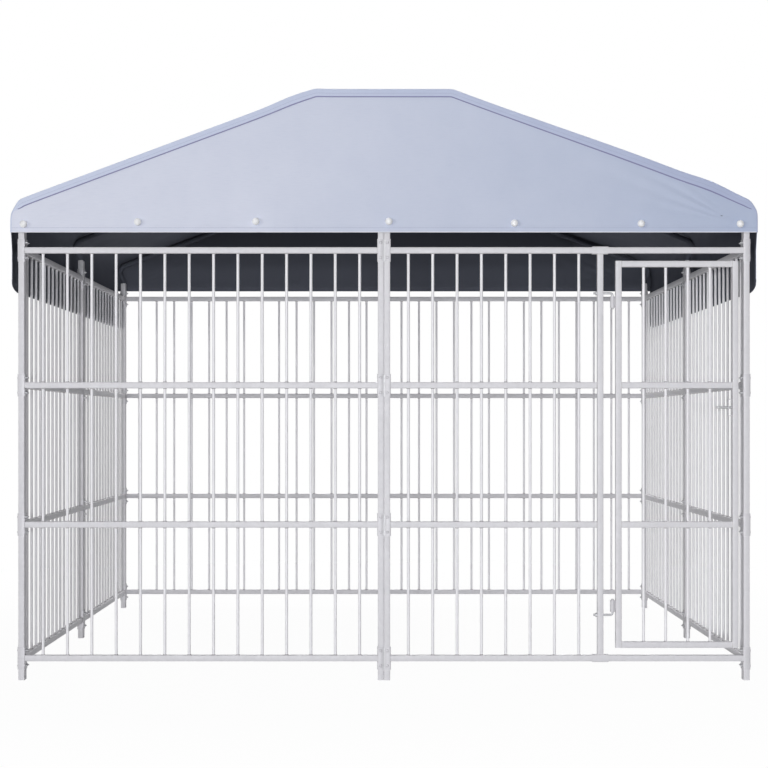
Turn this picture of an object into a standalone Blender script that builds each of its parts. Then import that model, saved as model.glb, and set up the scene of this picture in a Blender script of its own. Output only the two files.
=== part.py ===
"""Outdoor dog kennel: eight barred steel panels, a gate, joint clamps and a tented fabric canopy.

Axes: +X to the right, +Y to the back, +Z up. The front row of panels faces -Y.
Origin: on the ground, in the middle of the square plan.
Run with: blender --background --python part.py
"""

import math

import bmesh
import bpy
from mathutils import Matrix, Vector

# Driving dimensions, in metres

fit_gap = 0.0003            # clearance between pieces that seat on each other

# Barred panels
panel_width = 1.500
post_height = 1.850
tube_side = 0.025           # square tube of stiles, rails, jamb and gate
tube_wall = 0.0015
stile_bore_depth = 0.045    # open tube modelled at the top of every stile
foot_height = 0.0775        # ground to the underside of the bottom rail
lower_rail_height = 0.638
upper_rail_height = 1.210
top_stub = 0.0735           # top rail to the top of the stile
bar_diameter = 0.012
bar_pitch = 0.100
bar_sides = 6

# Gate and its doorway
doorway_width = 0.575
gate_hinge_side_gap = 0.050
gate_latch_side_gap = 0.0204
gate_top_gap = 0.031
gate_bottom_gap = 0.030
gate_bar_count = 4
jamb_collar_length = 0.066
jamb_collar_wall = 0.0025

# Gate hinges: bent pins through the jamb, and barrels welded to the gate
hinge_pin_diameter = 0.010
hinge_axis_offset = 0.012   # gate stile to hinge axis
barrel_wall = 0.004
barrel_length = 0.047
barrel_web = 0.006          # weld between barrel and gate stile
lower_barrel_rise = 0.1475  # gate's lower edge to the lower end of the lower barrel
upper_barrel_drop = 0.1925  # gate's upper edge to the lower end of the upper barrel
pin_drop = 0.013            # barrel end to the level arm of the pin
pin_bend_radius = 0.010
pin_tip_stand_out = 0.006   # pin beyond the far end of its barrel
pin_tail_length = 0.015     # threaded end beyond the jamb
nut_width = 0.015           # across the flats
nut_height = 0.008
round_sides = 8

# Slide bolt of the gate
latch_drop = 0.091          # upper rail to the bolt
latch_rod_diameter = 0.010
latch_engagement = 0.013    # rod inside the post when it is shot
latch_bore_spare = 0.003
latch_handle_length = 0.030
latch_bend_radius = 0.010
latch_tail_spare = 0.001
bracket_height = 0.070
bracket_reach = 0.0169
bracket_width = 0.020
bracket_thickness = 0.003

# Clamps that join the stiles of neighbouring panels
clamp_height = 0.092
clamp_wall = 0.0025
clamp_rail_clearance = 0.002

# Roof frame: three arches and a ridge line of two tubes
roof_tube_diameter = 0.025
arch_foot_depth = 0.040     # reduced end inside the stile
arch_collar_height = 0.008  # straight tube above the stile, before the swan neck
arch_side_steps = 3
connector_wall = 0.0027
connector_length = 0.090
socket_wall = 0.0022
socket_reach = 0.060        # arch axis to the mouth of a ridge tube's socket

# Canopy
sheet_thickness = 0.004
canopy_side_offset = 0.030  # skirt outside the posts
canopy_end_offset = 0.020   # gable in front of the posts
eave_rise = 0.108           # post top to the sharp corner of the eave
roof_rise = 0.4646          # eave corner to the flat top
flat_top_width = 0.563
eave_radius = 0.070
top_radius = 0.080
skirt_drop = 0.255          # post top to the hem of the side skirts
front_hem_drop = 0.015      # post top to the hem of the front gable
rear_hem_drop = 0.040
skirt_corner_radius = 0.030
seam_width = 0.035          # roof cloth turned over the edge of a gable
roof_sag = 0.012
eave_steps = 4
top_steps = 2

# Places worked out from the driving dimensions

row_half = panel_width + fit_gap / 2
front_face_y = -(row_half + fit_gap + tube_side)
front_mid_y = front_face_y + tube_side / 2
side_mid_x = row_half - tube_side / 2
pair_length = 2 * tube_side + fit_gap
corner_pair_y = -(row_half + fit_gap / 2)
rail_heights = {
    "bottom": foot_height + tube_side / 2,
    "lower": lower_rail_height,
    "upper": upper_rail_height,
    "top": post_height - top_stub - tube_side / 2,
}
post_inner_x = row_half - tube_side
jamb_right_x = post_inner_x - doorway_width
jamb_left_x = jamb_right_x - tube_side
door_panel_left_x = fit_gap / 2
gate_width = doorway_width - gate_hinge_side_gap - gate_latch_side_gap
hinge_x = jamb_right_x + gate_hinge_side_gap - hinge_axis_offset
gate_right = hinge_axis_offset + gate_width
gate_bottom_z = rail_heights["bottom"] + tube_side / 2 + gate_bottom_gap
gate_top_z = rail_heights["top"] - tube_side / 2 - gate_top_gap
lower_barrel_height = gate_bottom_z + lower_barrel_rise
upper_barrel_height = gate_top_z - upper_barrel_drop
latch_height = rail_heights["upper"] - latch_drop
bracket_right = gate_right - tube_side - fit_gap
bracket_left = bracket_right - bracket_reach
latch_travel = gate_latch_side_gap + latch_engagement
canopy_half_width = row_half + canopy_side_offset
canopy_half_length = -front_face_y + canopy_end_offset
eave_z = post_height + eave_rise
top_z = eave_z + roof_rise
skirt_hem_z = post_height - skirt_drop
front_hem_z = post_height - front_hem_drop
rear_hem_z = post_height - rear_hem_drop
roof_pitch = math.atan2(roof_rise, canopy_half_width - flat_top_width / 2)
roof_tube_radius = roof_tube_diameter / 2
middle_arch_y = -(fit_gap + tube_side) / 2


def bore_radius(radius, sides, turns):
    """Corner radius of a faceted bore that clears a faceted rod of the given corner radius."""
    if turns:
        return (radius + fit_gap) / math.cos(math.pi / sides)
    return radius + fit_gap / math.cos(math.pi / sides)


connector_bore_radius = bore_radius(roof_tube_radius, round_sides, turns=False)
connector_radius = connector_bore_radius + connector_wall
# A facet, not a corner, of the connector faces up and carries the cloth
cloth_offset = connector_radius * math.cos(math.pi / round_sides) + fit_gap
arch_inset = sheet_thickness + cloth_offset


# Scene and materials

def clear_scene():
    for thing in list(bpy.data.objects):
        bpy.data.objects.remove(thing, do_unlink=True)


def make_material(name, colour, roughness, metallic):
    material = bpy.data.materials.new(name)
    material.use_nodes = True
    shader = material.node_tree.nodes["Principled BSDF"]
    shader.inputs["Base Color"].default_value = (*colour, 1.0)
    shader.inputs["Roughness"].default_value = roughness
    shader.inputs["Metallic"].default_value = metallic
    material.diffuse_color = (*colour, 1.0)
    return material


def add_object(name, mesh, material, location=(0, 0, 0), rotation=(0, 0, 0), parent=None):
    thing = bpy.data.objects.new(name, mesh)
    bpy.context.scene.collection.objects.link(thing)
    if not mesh.materials:
        mesh.materials.append(material)
    thing.location = location
    thing.rotation_euler = rotation
    thing.parent = parent
    return thing


def add_axis(name, location, parent=None):
    axis = bpy.data.objects.new(name, None)
    axis.empty_display_size = 0.1
    axis.location = location
    axis.parent = parent
    bpy.context.scene.collection.objects.link(axis)
    return axis


# Mesh tools

def finish_mesh(name, shape):
    """Turn a bmesh into a mesh whose round parts shade smooth and whose corners stay sharp."""
    bmesh.ops.recalc_face_normals(shape, faces=shape.faces)
    mesh = bpy.data.meshes.new(name)
    shape.to_mesh(mesh)
    shape.free()
    mesh.shade_smooth()
    mesh.set_sharp_from_angle(angle=math.radians(70))
    return mesh


def add_box(shape, low, high):
    size = [high[axis] - low[axis] for axis in range(3)]
    middle = [(high[axis] + low[axis]) / 2 for axis in range(3)]
    matrix = Matrix.Translation(middle) @ Matrix.Diagonal((*size, 1.0))
    bmesh.ops.create_cube(shape, size=1.0, matrix=matrix)


def add_rod(shape, start, end, radius, sides):
    """A straight faceted rod with a facet, not a corner, towards each axis of its section."""
    start, end = Vector(start), Vector(end)
    run = end - start
    turn = run.to_track_quat("Z", "Y").to_matrix().to_4x4()
    facet = Matrix.Rotation(math.pi / sides, 4, "Z")
    matrix = Matrix.Translation((start + end) / 2) @ turn @ facet
    bmesh.ops.create_cone(shape, cap_ends=True, segments=sides, radius1=radius, radius2=radius,
                          depth=run.length, matrix=matrix)


def add_prism(shape, outline, depth_axis, start, end):
    """Extrude a closed outline. Its points are (x, z), swept along Y, or (x, y), swept along Z."""
    if depth_axis == "Y":
        corners = [(x, start, z) for x, z in outline]
        sweep = Vector((0, end - start, 0))
    else:
        corners = [(x, y, start) for x, y in outline]
        sweep = Vector((0, 0, end - start))
    face = shape.faces.new([shape.verts.new(corner) for corner in corners])
    swept = bmesh.ops.extrude_face_region(shape, geom=[face])["geom"]
    moved = [item for item in swept if isinstance(item, bmesh.types.BMVert)]
    bmesh.ops.translate(shape, verts=moved, vec=sweep)


def add_bent_rod(shape, path, radii, sides, plane_normal):
    """Sweep a faceted ring along a path that lies in one plane, with mitred rings at its bends."""
    path = [Vector(point) for point in path]
    across = Vector(plane_normal)
    rings = []
    for index, point in enumerate(path):
        before = (point - path[index - 1]).normalized() if index else None
        after = (path[index + 1] - point).normalized() if index < len(path) - 1 else None
        before = before or after
        after = after or before
        along = (before + after).normalized()
        stretch = 1 / max(0.5, along.dot(before))
        side = along.cross(across)
        ring = []
        for step in range(sides):
            angle = 2 * math.pi * (step + 0.5) / sides
            reach = side * math.cos(angle) * stretch + across * math.sin(angle)
            ring.append(shape.verts.new(point + reach * radii[index]))
        rings.append(ring)
    for first, second in zip(rings, rings[1:]):
        for step in range(sides):
            after = (step + 1) % sides
            shape.faces.new((first[step], first[after], second[after], second[step]))
    shape.faces.new(reversed(rings[0]))
    shape.faces.new(rings[-1])


def arc_points(centre, radius, start_angle, end_angle, steps):
    points = []
    for step in range(steps + 1):
        angle = start_angle + (end_angle - start_angle) * step / steps
        points.append((centre[0] + radius * math.cos(angle), centre[1] + radius * math.sin(angle)))
    return points


def merge_flat_faces(shape):
    """Merge neighbours that lie in one plane, and drop the corners left along straight edges."""
    bmesh.ops.dissolve_limit(shape, angle_limit=math.radians(1), verts=shape.verts,
                             edges=shape.edges)
    spare = []
    for corner in shape.verts:
        if len(corner.link_edges) == 2:
            one, other = (edge.other_vert(corner).co - corner.co for edge in corner.link_edges)
            if one.angle(other) > math.radians(179.8):
                spare.append(corner)
    bmesh.ops.dissolve_verts(shape, verts=spare)


def combined(mesh, others, operation, name):
    """Join the meshes to the first one, or cut them from it, and merge the flat faces again."""
    base = bpy.data.objects.new(name, mesh)
    bpy.context.scene.collection.objects.link(base)
    tools = []
    for index, other in enumerate(others):
        tool = bpy.data.objects.new(f"{name}_tool_{index}", other)
        tool.hide_render = True
        tool.display_type = "WIRE"
        bpy.context.scene.collection.objects.link(tool)
        modifier = base.modifiers.new(f"step_{index}", "BOOLEAN")
        modifier.operation = operation
        modifier.solver = "EXACT"
        modifier.object = tool
        tools.append(tool)
    bpy.context.view_layer.update()
    evaluated = base.evaluated_get(bpy.context.evaluated_depsgraph_get())
    shape = bmesh.new()
    shape.from_mesh(bpy.data.meshes.new_from_object(evaluated))
    for thing in (base, *tools):
        bpy.data.objects.remove(thing, do_unlink=True)
    merge_flat_faces(shape)
    return finish_mesh(name, shape)


def fused(mesh, others, name):
    return combined(mesh, others, "UNION", name)


def drilled(mesh, others, name):
    return combined(mesh, others, "DIFFERENCE", name)


# Barred panels

def frame_shape(x_lines, z_lines, is_open):
    """A welded frame of square tube: a grid of cells in the XZ plane, without the open bays."""
    shape = bmesh.new()
    corners = [[shape.verts.new((x, -tube_side / 2, z)) for z in z_lines] for x in x_lines]
    faces = []
    for column in range(len(x_lines) - 1):
        for row in range(len(z_lines) - 1):
            if is_open(column, row):
                continue
            faces.append(shape.faces.new((corners[column][row], corners[column + 1][row],
                                          corners[column + 1][row + 1], corners[column][row + 1])))
    bmesh.ops.delete(shape, geom=[corner for corner in shape.verts if not corner.link_faces],
                     context="VERTS")
    swept = bmesh.ops.extrude_face_region(shape, geom=faces)["geom"]
    moved = [item for item in swept if isinstance(item, bmesh.types.BMVert)]
    bmesh.ops.translate(shape, verts=moved, vec=(0, tube_side, 0))
    bmesh.ops.recalc_face_normals(shape, faces=shape.faces)
    merge_flat_faces(shape)
    return shape


def open_stile_tops(shape):
    """Sink the top end of each stile, so that the tube's wall shows and an arch foot can enter."""
    ends = [face for face in shape.faces
            if face.normal.z > 0.9 and face.calc_center_median().z > post_height - tube_wall]
    for end in ends:
        bmesh.ops.inset_individual(shape, faces=[end], thickness=tube_wall, use_even_offset=True)
        swept = bmesh.ops.extrude_discrete_faces(shape, faces=[end])["faces"]
        bmesh.ops.translate(shape, verts=swept[0].verts, vec=(0, 0, -stile_bore_depth))


def rail_lines(names):
    lines = [0.0]
    for name in names:
        lines += [rail_heights[name] - tube_side / 2, rail_heights[name] + tube_side / 2]
    return lines + [post_height]


def spaced(low, high):
    """Bars at the bar pitch, centred between two tubes."""
    count = int((high - low - bar_pitch) / bar_pitch + 1e-6) + 1
    first = (low + high - (count - 1) * bar_pitch) / 2
    return [first + index * bar_pitch for index in range(count)]


def bars_mesh(places, low_z, high_z):
    shape = bmesh.new()
    for x in places:
        outline = arc_points((x, 0), bar_diameter / 2, 0, 2 * math.pi, bar_sides)[:-1]
        add_prism(shape, outline, "Z", low_z, high_z)
    return finish_mesh("bars", shape)


def plain_panel_mesh():
    """Two stiles, four rails and the bars, welded into one panel. Local X runs along the panel."""
    x_lines = [0, tube_side, panel_width - tube_side, panel_width]
    z_lines = rail_lines(("bottom", "lower", "upper", "top"))
    shape = frame_shape(x_lines, z_lines, lambda column, row: column == 1 and row % 2 == 0)
    open_stile_tops(shape)
    places = spaced(tube_side, panel_width - tube_side)
    bars = bars_mesh(places, z_lines[2], z_lines[-3])
    return fused(finish_mesh("panel_frame", shape), [bars], "barred_panel")


def add_panels(steel):
    mesh = plain_panel_mesh()
    quarter = math.pi / 2
    back_y = -front_mid_y
    places = {
        "panel_front_left": ((-row_half, front_mid_y, 0), 0),
        "panel_back_left": ((-row_half, back_y, 0), 0),
        "panel_back_right": ((fit_gap / 2, back_y, 0), 0),
        "panel_left_front": ((-side_mid_x, -row_half, 0), quarter),
        "panel_left_back": ((-side_mid_x, fit_gap / 2, 0), quarter),
        "panel_right_front": ((side_mid_x, -row_half, 0), quarter),
        "panel_right_back": ((side_mid_x, fit_gap / 2, 0), quarter),
    }
    for name, (location, turn) in places.items():
        add_object(name, mesh, steel, location, (0, 0, turn))


# Door panel: outer frame, fixed bars, jamb

def latch_post_bore():
    shape = bmesh.new()
    radius = bore_radius(latch_rod_diameter / 2, round_sides, turns=True)
    mouth = post_inner_x - door_panel_left_x
    depth = latch_engagement + latch_bore_spare
    add_rod(shape, (mouth - depth, 0, latch_height), (mouth + depth, 0, latch_height),
            radius, round_sides)
    return finish_mesh("latch_post_bore", shape)


def add_door_panel(steel):
    x_lines = [0, tube_side, panel_width - tube_side, panel_width]
    z_lines = rail_lines(("bottom", "top"))
    shape = frame_shape(x_lines, z_lines, lambda column, row: column == 1 and row % 2 == 0)
    open_stile_tops(shape)
    frame = drilled(finish_mesh("door_frame", shape), [latch_post_bore()], "door_panel_frame")
    add_object("door_panel_frame", frame, steel, (door_panel_left_x, front_mid_y, 0))

    # Fixed bars and the two middle rails, between the first stile and the jamb
    left = tube_side + fit_gap
    right = jamb_left_x - door_panel_left_x - fit_gap
    rails = bmesh.new()
    for name in ("lower", "upper"):
        add_box(rails, (left, -tube_side / 2, rail_heights[name] - tube_side / 2),
                (right, tube_side / 2, rail_heights[name] + tube_side / 2))
    low_z = rail_heights["bottom"] + tube_side / 2 + fit_gap
    high_z = rail_heights["top"] - tube_side / 2 - fit_gap
    bars = bars_mesh(spaced(tube_side, jamb_left_x - door_panel_left_x), low_z, high_z)
    infill = fused(finish_mesh("rails", rails), [bars], "door_panel_bars")
    add_object("door_panel_bars", infill, steel, (door_panel_left_x, front_mid_y, 0))


def pin_arm_height(is_lower):
    if is_lower:
        return lower_barrel_height - pin_drop
    return upper_barrel_height + barrel_length + pin_drop


def add_jamb(steel):
    """Post beside the doorway, with a collar round each rail and bores for the hinge pins."""
    half = tube_side / 2
    collar = half + fit_gap + jamb_collar_wall
    jamb = bmesh.new()
    add_box(jamb, (-half, -half, rail_heights["bottom"]), (half, half, rail_heights["top"]))
    collars = bmesh.new()
    cutters = bmesh.new()
    for name in ("bottom", "top"):
        z = rail_heights[name]
        add_box(collars, (-jamb_collar_length / 2, -collar, z - collar),
                (jamb_collar_length / 2, collar, z + collar))
        add_box(cutters, (-jamb_collar_length, -half - fit_gap, z - half - fit_gap),
                (jamb_collar_length, half + fit_gap, z + half + fit_gap))
    radius = bore_radius(hinge_pin_diameter / 2, round_sides, turns=False)
    for is_lower in (True, False):
        z = pin_arm_height(is_lower)
        add_rod(cutters, (-tube_side, 0, z), (tube_side, 0, z), radius, round_sides)
    solid = fused(finish_mesh("jamb", jamb), [finish_mesh("collars", collars)], "jamb_solid")
    mesh = drilled(solid, [finish_mesh("jamb_bores", cutters)], "door_jamb")
    add_object("door_jamb", mesh, steel, (jamb_right_x - half, front_mid_y, 0))


# Gate: frame with bars and hinge barrels, on its hinge axis

def gate_frame_mesh():
    left = hinge_axis_offset
    x_lines = [left, left + tube_side, gate_right - tube_side, gate_right]
    z_lines = [gate_bottom_z, gate_bottom_z + tube_side]
    for name in ("lower", "upper"):
        z_lines += [rail_heights[name] - tube_side / 2, rail_heights[name] + tube_side / 2]
    z_lines += [gate_top_z - tube_side, gate_top_z]
    shape = frame_shape(x_lines, z_lines, lambda column, row: column == 1 and row % 2 == 1)
    return finish_mesh("gate_frame", shape)


def add_gate(steel, hinge):
    inner_low = hinge_axis_offset + tube_side
    inner_high = gate_right - tube_side
    step = (inner_high - inner_low) / (gate_bar_count + 1)
    places = [inner_low + step * (index + 1) for index in range(gate_bar_count)]
    bars = bars_mesh(places, gate_bottom_z + tube_side, gate_top_z - tube_side)

    pin_radius = hinge_pin_diameter / 2
    barrel_bore = bore_radius(pin_radius, round_sides, turns=True)
    barrels = bmesh.new()
    webs = bmesh.new()
    bores = bmesh.new()
    for base in (lower_barrel_height, upper_barrel_height):
        top = base + barrel_length
        add_rod(barrels, (0, 0, base), (0, 0, top), barrel_bore + barrel_wall, round_sides)
        add_box(webs, (barrel_bore, -barrel_web / 2, base + barrel_web / 2),
                (hinge_axis_offset + barrel_web, barrel_web / 2, top - barrel_web / 2))
        add_rod(bores, (0, 0, base - barrel_length), (0, 0, top + barrel_length), barrel_bore,
                round_sides)
    latch_bore = bore_radius(latch_rod_diameter / 2, round_sides, turns=True)
    add_rod(bores, (gate_right - 2 * tube_side, 0, latch_height),
            (gate_right + tube_side, 0, latch_height), latch_bore, round_sides)
    parts = [bars, finish_mesh("webs", webs), finish_mesh("barrels", barrels)]
    solid = fused(gate_frame_mesh(), parts, "gate_solid")
    mesh = drilled(solid, [finish_mesh("gate_bores", bores)], "gate")
    add_object("door_leaf", mesh, steel, parent=hinge)


def add_hinge_pins(zinc):
    """Each pin runs level through the jamb, then turns into its barrel along the hinge axis."""
    start_x = jamb_left_x - hinge_x - pin_tail_length
    nut_x = jamb_left_x - fit_gap - nut_height
    pin_radius = hinge_pin_diameter / 2
    for label, is_lower in (("lower", True), ("upper", False)):
        arm_z = pin_arm_height(is_lower)
        bend = pin_bend_radius
        if is_lower:
            curve = arc_points((-bend, arm_z + bend), bend, -math.pi / 2, 0, 3)
            tip_z = lower_barrel_height + barrel_length + pin_tip_stand_out
        else:
            curve = arc_points((-bend, arm_z - bend), bend, math.pi / 2, 0, 3)
            tip_z = upper_barrel_height - pin_tip_stand_out
        points = [(start_x, arm_z), *curve, (0, tip_z)]
        shape = bmesh.new()
        add_bent_rod(shape, [(x, 0, z) for x, z in points], [pin_radius] * len(points),
                     round_sides, (0, 1, 0))
        mesh = finish_mesh("hinge_pin", shape)
        add_object(f"hinge_pin_{label}", mesh, zinc, (hinge_x, front_mid_y, 0))

        body = bmesh.new()
        corner = nut_width / 2 / math.cos(math.pi / 6)
        add_rod(body, (0, 0, 0), (nut_height, 0, 0), corner, 6)
        hole = bmesh.new()
        add_rod(hole, (-nut_height, 0, 0), (2 * nut_height, 0, 0),
                bore_radius(pin_radius, round_sides, turns=False), round_sides)
        nut = drilled(finish_mesh("nut_body", body), [finish_mesh("nut_hole", hole)], "hinge_nut")
        add_object(f"hinge_nut_{label}", nut, zinc, (nut_x, front_mid_y, arm_z))


# Slide bolt of the gate

def add_latch(zinc, hinge):
    low = latch_height - bracket_height / 2
    high = latch_height + bracket_height / 2
    web = bracket_left + bracket_thickness
    outline = [
        (bracket_right, low),
        (bracket_right, low + bracket_thickness),
        (web, low + bracket_thickness),
        (web, high - bracket_thickness),
        (bracket_right, high - bracket_thickness),
        (bracket_right, high),
        (bracket_left, high),
        (bracket_left, low),
    ]
    strap = bmesh.new()
    add_prism(strap, outline, "Y", -bracket_width / 2, bracket_width / 2)
    hole = bmesh.new()
    radius = bore_radius(latch_rod_diameter / 2, round_sides, turns=True)
    add_rod(hole, (bracket_left - bracket_thickness, 0, latch_height),
            (web + bracket_thickness, 0, latch_height), radius, round_sides)
    bracket = drilled(finish_mesh("strap", strap), [finish_mesh("strap_hole", hole)], "bracket")
    add_object("latch_bracket", bracket, zinc, parent=hinge)

    slide = add_axis("latch_slide_axis", (gate_right, 0, latch_height), hinge)
    rod_radius = latch_rod_diameter / 2
    bend = latch_bend_radius
    handle_x = bracket_left - latch_tail_spare - latch_travel - bend - gate_right
    curve = arc_points((handle_x + bend, -bend), bend, math.pi / 2, math.pi, 3)
    points = [(0, 0), *curve, (handle_x, -latch_handle_length)]
    shape = bmesh.new()
    add_bent_rod(shape, [(x, y, 0) for x, y in points], [rod_radius] * len(points),
                 round_sides, (0, 0, 1))
    add_object("latch_bolt", finish_mesh("latch_bolt", shape), zinc, parent=slide)


# Clamps

def clamp_sleeve():
    """Sleeve round two stiles that stand side by side along local X."""
    inner_x = pair_length / 2 + fit_gap
    inner_y = tube_side / 2 + fit_gap
    outer = bmesh.new()
    add_box(outer, (-inner_x - clamp_wall, -inner_y - clamp_wall, -clamp_height / 2),
            (inner_x + clamp_wall, inner_y + clamp_wall, clamp_height / 2))
    inner = bmesh.new()
    add_box(inner, (-inner_x, -inner_y, -clamp_height), (inner_x, inner_y, clamp_height))
    return finish_mesh("sleeve", outer), finish_mesh("sleeve_hollow", inner)


def end_notch(shape, side):
    """Opening for the rail that leaves the pair at one end."""
    inner_x = pair_length / 2 + fit_gap
    outer_y = tube_side / 2 + fit_gap + clamp_wall
    half = tube_side / 2 + clamp_rail_clearance
    near = side * inner_x
    far = side * (inner_x + 2 * clamp_wall)
    add_box(shape, (min(near, far), -2 * outer_y, -half), (max(near, far), 2 * outer_y, half))


def middle_clamp_mesh():
    sleeve, hollow = clamp_sleeve()
    notches = bmesh.new()
    end_notch(notches, -1)
    end_notch(notches, 1)
    tube = drilled(sleeve, [hollow], "sleeve_tube")
    return drilled(tube, [finish_mesh("notches", notches)], "middle_clamp")


def corner_clamp_mesh():
    """One rail leaves at the +X end, and one leaves the -X stile through the -Y wall."""
    sleeve, hollow = clamp_sleeve()
    inner_x = pair_length / 2 + fit_gap
    inner_y = tube_side / 2 + fit_gap
    half = tube_side / 2 + clamp_rail_clearance
    notches = bmesh.new()
    end_notch(notches, 1)
    add_box(notches, (-inner_x - 2 * clamp_wall, -inner_y - 2 * clamp_wall, -half),
            (-fit_gap / 2 + clamp_rail_clearance, -inner_y, half))
    tube = drilled(sleeve, [hollow], "sleeve_tube")
    return drilled(tube, [finish_mesh("notches", notches)], "corner_clamp")


def add_clamps(zinc):
    middle = middle_clamp_mesh()
    corner = corner_clamp_mesh()
    quarter = math.pi / 2
    # A corner clamp is turned so that its pair runs along Y, then flipped to suit its corner
    places = {
        "front_middle": (middle, (0, front_mid_y), (0, 0, 0)),
        "back_middle": (middle, (0, -front_mid_y), (0, 0, 0)),
        "left_middle": (middle, (-side_mid_x, 0), (0, 0, quarter)),
        "right_middle": (middle, (side_mid_x, 0), (0, 0, quarter)),
        "front_left": (corner, (-side_mid_x, corner_pair_y), (0, 0, quarter)),
        "front_right": (corner, (side_mid_x, corner_pair_y), (math.pi, 0, quarter)),
        "back_right": (corner, (side_mid_x, -corner_pair_y), (0, 0, -quarter)),
        "back_left": (corner, (-side_mid_x, -corner_pair_y), (math.pi, 0, -quarter)),
    }
    for place, (mesh, (x, y), rotation) in places.items():
        for level, z in rail_heights.items():
            add_object(f"clamp_{place}_{level}", mesh, zinc, (x, y, z), rotation)


# Roof frame

def half_profile(inset, with_hem):
    """Right half of the canopy's section as (x, z) points, from the skirt up to the middle.

    The inset moves every line inwards and shrinks the rounded corners with it.
    """
    wide = canopy_half_width - inset
    high = top_z - inset
    # The slope line moved inwards, met by the two lines beside it
    slope = math.tan(roof_pitch)
    drop = inset / math.cos(roof_pitch)
    corner_z = eave_z - drop + inset * slope
    corner_x = canopy_half_width - (high - eave_z + drop) / slope
    bend = math.pi / 2 - roof_pitch
    radius = eave_radius - inset
    lead = radius * math.tan(bend / 2)
    eave = arc_points((wide - radius, corner_z - lead), radius, 0, bend, eave_steps)
    small = top_radius - inset
    lead = small * math.tan(roof_pitch / 2)
    top = arc_points((corner_x - lead, high - small), small, bend, math.pi / 2, top_steps)
    middle = ((eave[-1][0] + top[0][0]) / 2, (eave[-1][1] + top[0][1]) / 2)
    hems = []
    if with_hem:
        hems = [(wide, skirt_hem_z), (wide, rear_hem_z), (wide, front_hem_z)]
    return hems + eave + [middle] + top + [(0, high)]


def arch_path():
    """Centre line of an arch: reduced foot, swan neck out to the eave, slope and flat top."""
    line = half_profile(arch_inset, with_hem=False)
    neck_x, neck_z = line[0]
    collar_z = post_height + arch_collar_height
    points = [(side_mid_x, post_height - arch_foot_depth), (side_mid_x, post_height),
              (side_mid_x, collar_z)]
    for step in range(1, arch_side_steps):
        share = step / arch_side_steps
        ease = share * share * (3 - 2 * share)
        points.append((side_mid_x + (neck_x - side_mid_x) * ease,
                       collar_z + (neck_z - collar_z) * share))
    # The middle of the slope needs no ring on a straight tube
    slope_middle = eave_steps + 1
    return points + line[:slope_middle] + line[slope_middle + 1:-1]


def arch_mesh():
    right = arch_path()
    left = [(-x, z) for x, z in reversed(right)]
    foot_radius = tube_side / 2 - tube_wall - fit_gap
    shape = bmesh.new()
    shoulder = right[1]
    path = [right[0], shoulder, (shoulder[0], shoulder[1] + fit_gap), *right[2:]]
    radii = [foot_radius, foot_radius] + [roof_tube_radius] * (len(path) - 2)
    path += [*left[:-2], (-shoulder[0], shoulder[1] + fit_gap), left[-2], left[-1]]
    radii += [roof_tube_radius] * (len(left) - 1) + [foot_radius, foot_radius]
    add_bent_rod(shape, [(x, 0, z) for x, z in path], radii, round_sides, (0, 1, 0))
    return finish_mesh("roof_arch", shape)


def connector_mesh(branches):
    """Sleeve on an arch's flat top, with a blind socket along Y for each ridge tube."""
    body = bmesh.new()
    add_rod(body, (-connector_length / 2, 0, 0), (connector_length / 2, 0, 0), connector_radius,
            round_sides)
    sockets = bmesh.new()
    bores = bmesh.new()
    add_rod(bores, (-connector_length, 0, 0), (connector_length, 0, 0), connector_bore_radius,
            round_sides)
    for side in branches:
        add_rod(sockets, (0, side * connector_bore_radius, 0), (0, side * socket_reach, 0),
                connector_bore_radius + socket_wall, round_sides)
        add_rod(bores, (0, side * connector_radius, 0), (0, side * 2 * socket_reach, 0),
                connector_bore_radius, round_sides)
    solid = fused(finish_mesh("sleeve", body), [finish_mesh("sockets", sockets)], "tee_solid")
    return drilled(solid, [finish_mesh("bores", bores)], "ridge_connector")


def add_roof_frame(steel, zinc):
    arches = {"front": front_mid_y, "middle": middle_arch_y, "rear": -front_mid_y}
    sockets = {"front": (1,), "middle": (-1, 1), "rear": (-1,)}
    ridge_z = top_z - arch_inset
    mesh = arch_mesh()
    for place, y in arches.items():
        add_object(f"roof_arch_{place}", mesh, steel, (0, y, 0))
        add_object(f"ridge_connector_{place}", connector_mesh(sockets[place]), zinc,
                   (0, y, ridge_z))
    stand_off = connector_radius + fit_gap
    for place, start, end in (("front", "front", "middle"), ("rear", "middle", "rear")):
        length = arches[end] - arches[start] - 2 * stand_off
        shape = bmesh.new()
        add_rod(shape, (0, 0, 0), (0, length, 0), roof_tube_radius, round_sides)
        add_object(f"ridge_tube_{place}", finish_mesh("ridge_tube", shape), steel,
                   (0, arches[start] + stand_off, ridge_z))


# Canopy

def full_profile(inset):
    right = half_profile(inset, with_hem=True)
    return [(-x, z) for x, z in right[:-1]] + list(reversed(right))


def canopy_columns():
    """Places along Y: both ends, the rounded skirt corners, and between the arches."""
    end = canopy_half_length
    corner = skirt_corner_radius
    half = [0, end / 2, end - corner, end - 0.3 * corner, end]
    return [-y for y in reversed(half[1:])] + half


def skirt_lift(y):
    """Height of the rounded lower corner of a side skirt above its hem."""
    inside = max(0, abs(y) - (canopy_half_length - skirt_corner_radius))
    return skirt_corner_radius - math.sqrt(max(0, skirt_corner_radius ** 2 - inside ** 2))


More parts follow.
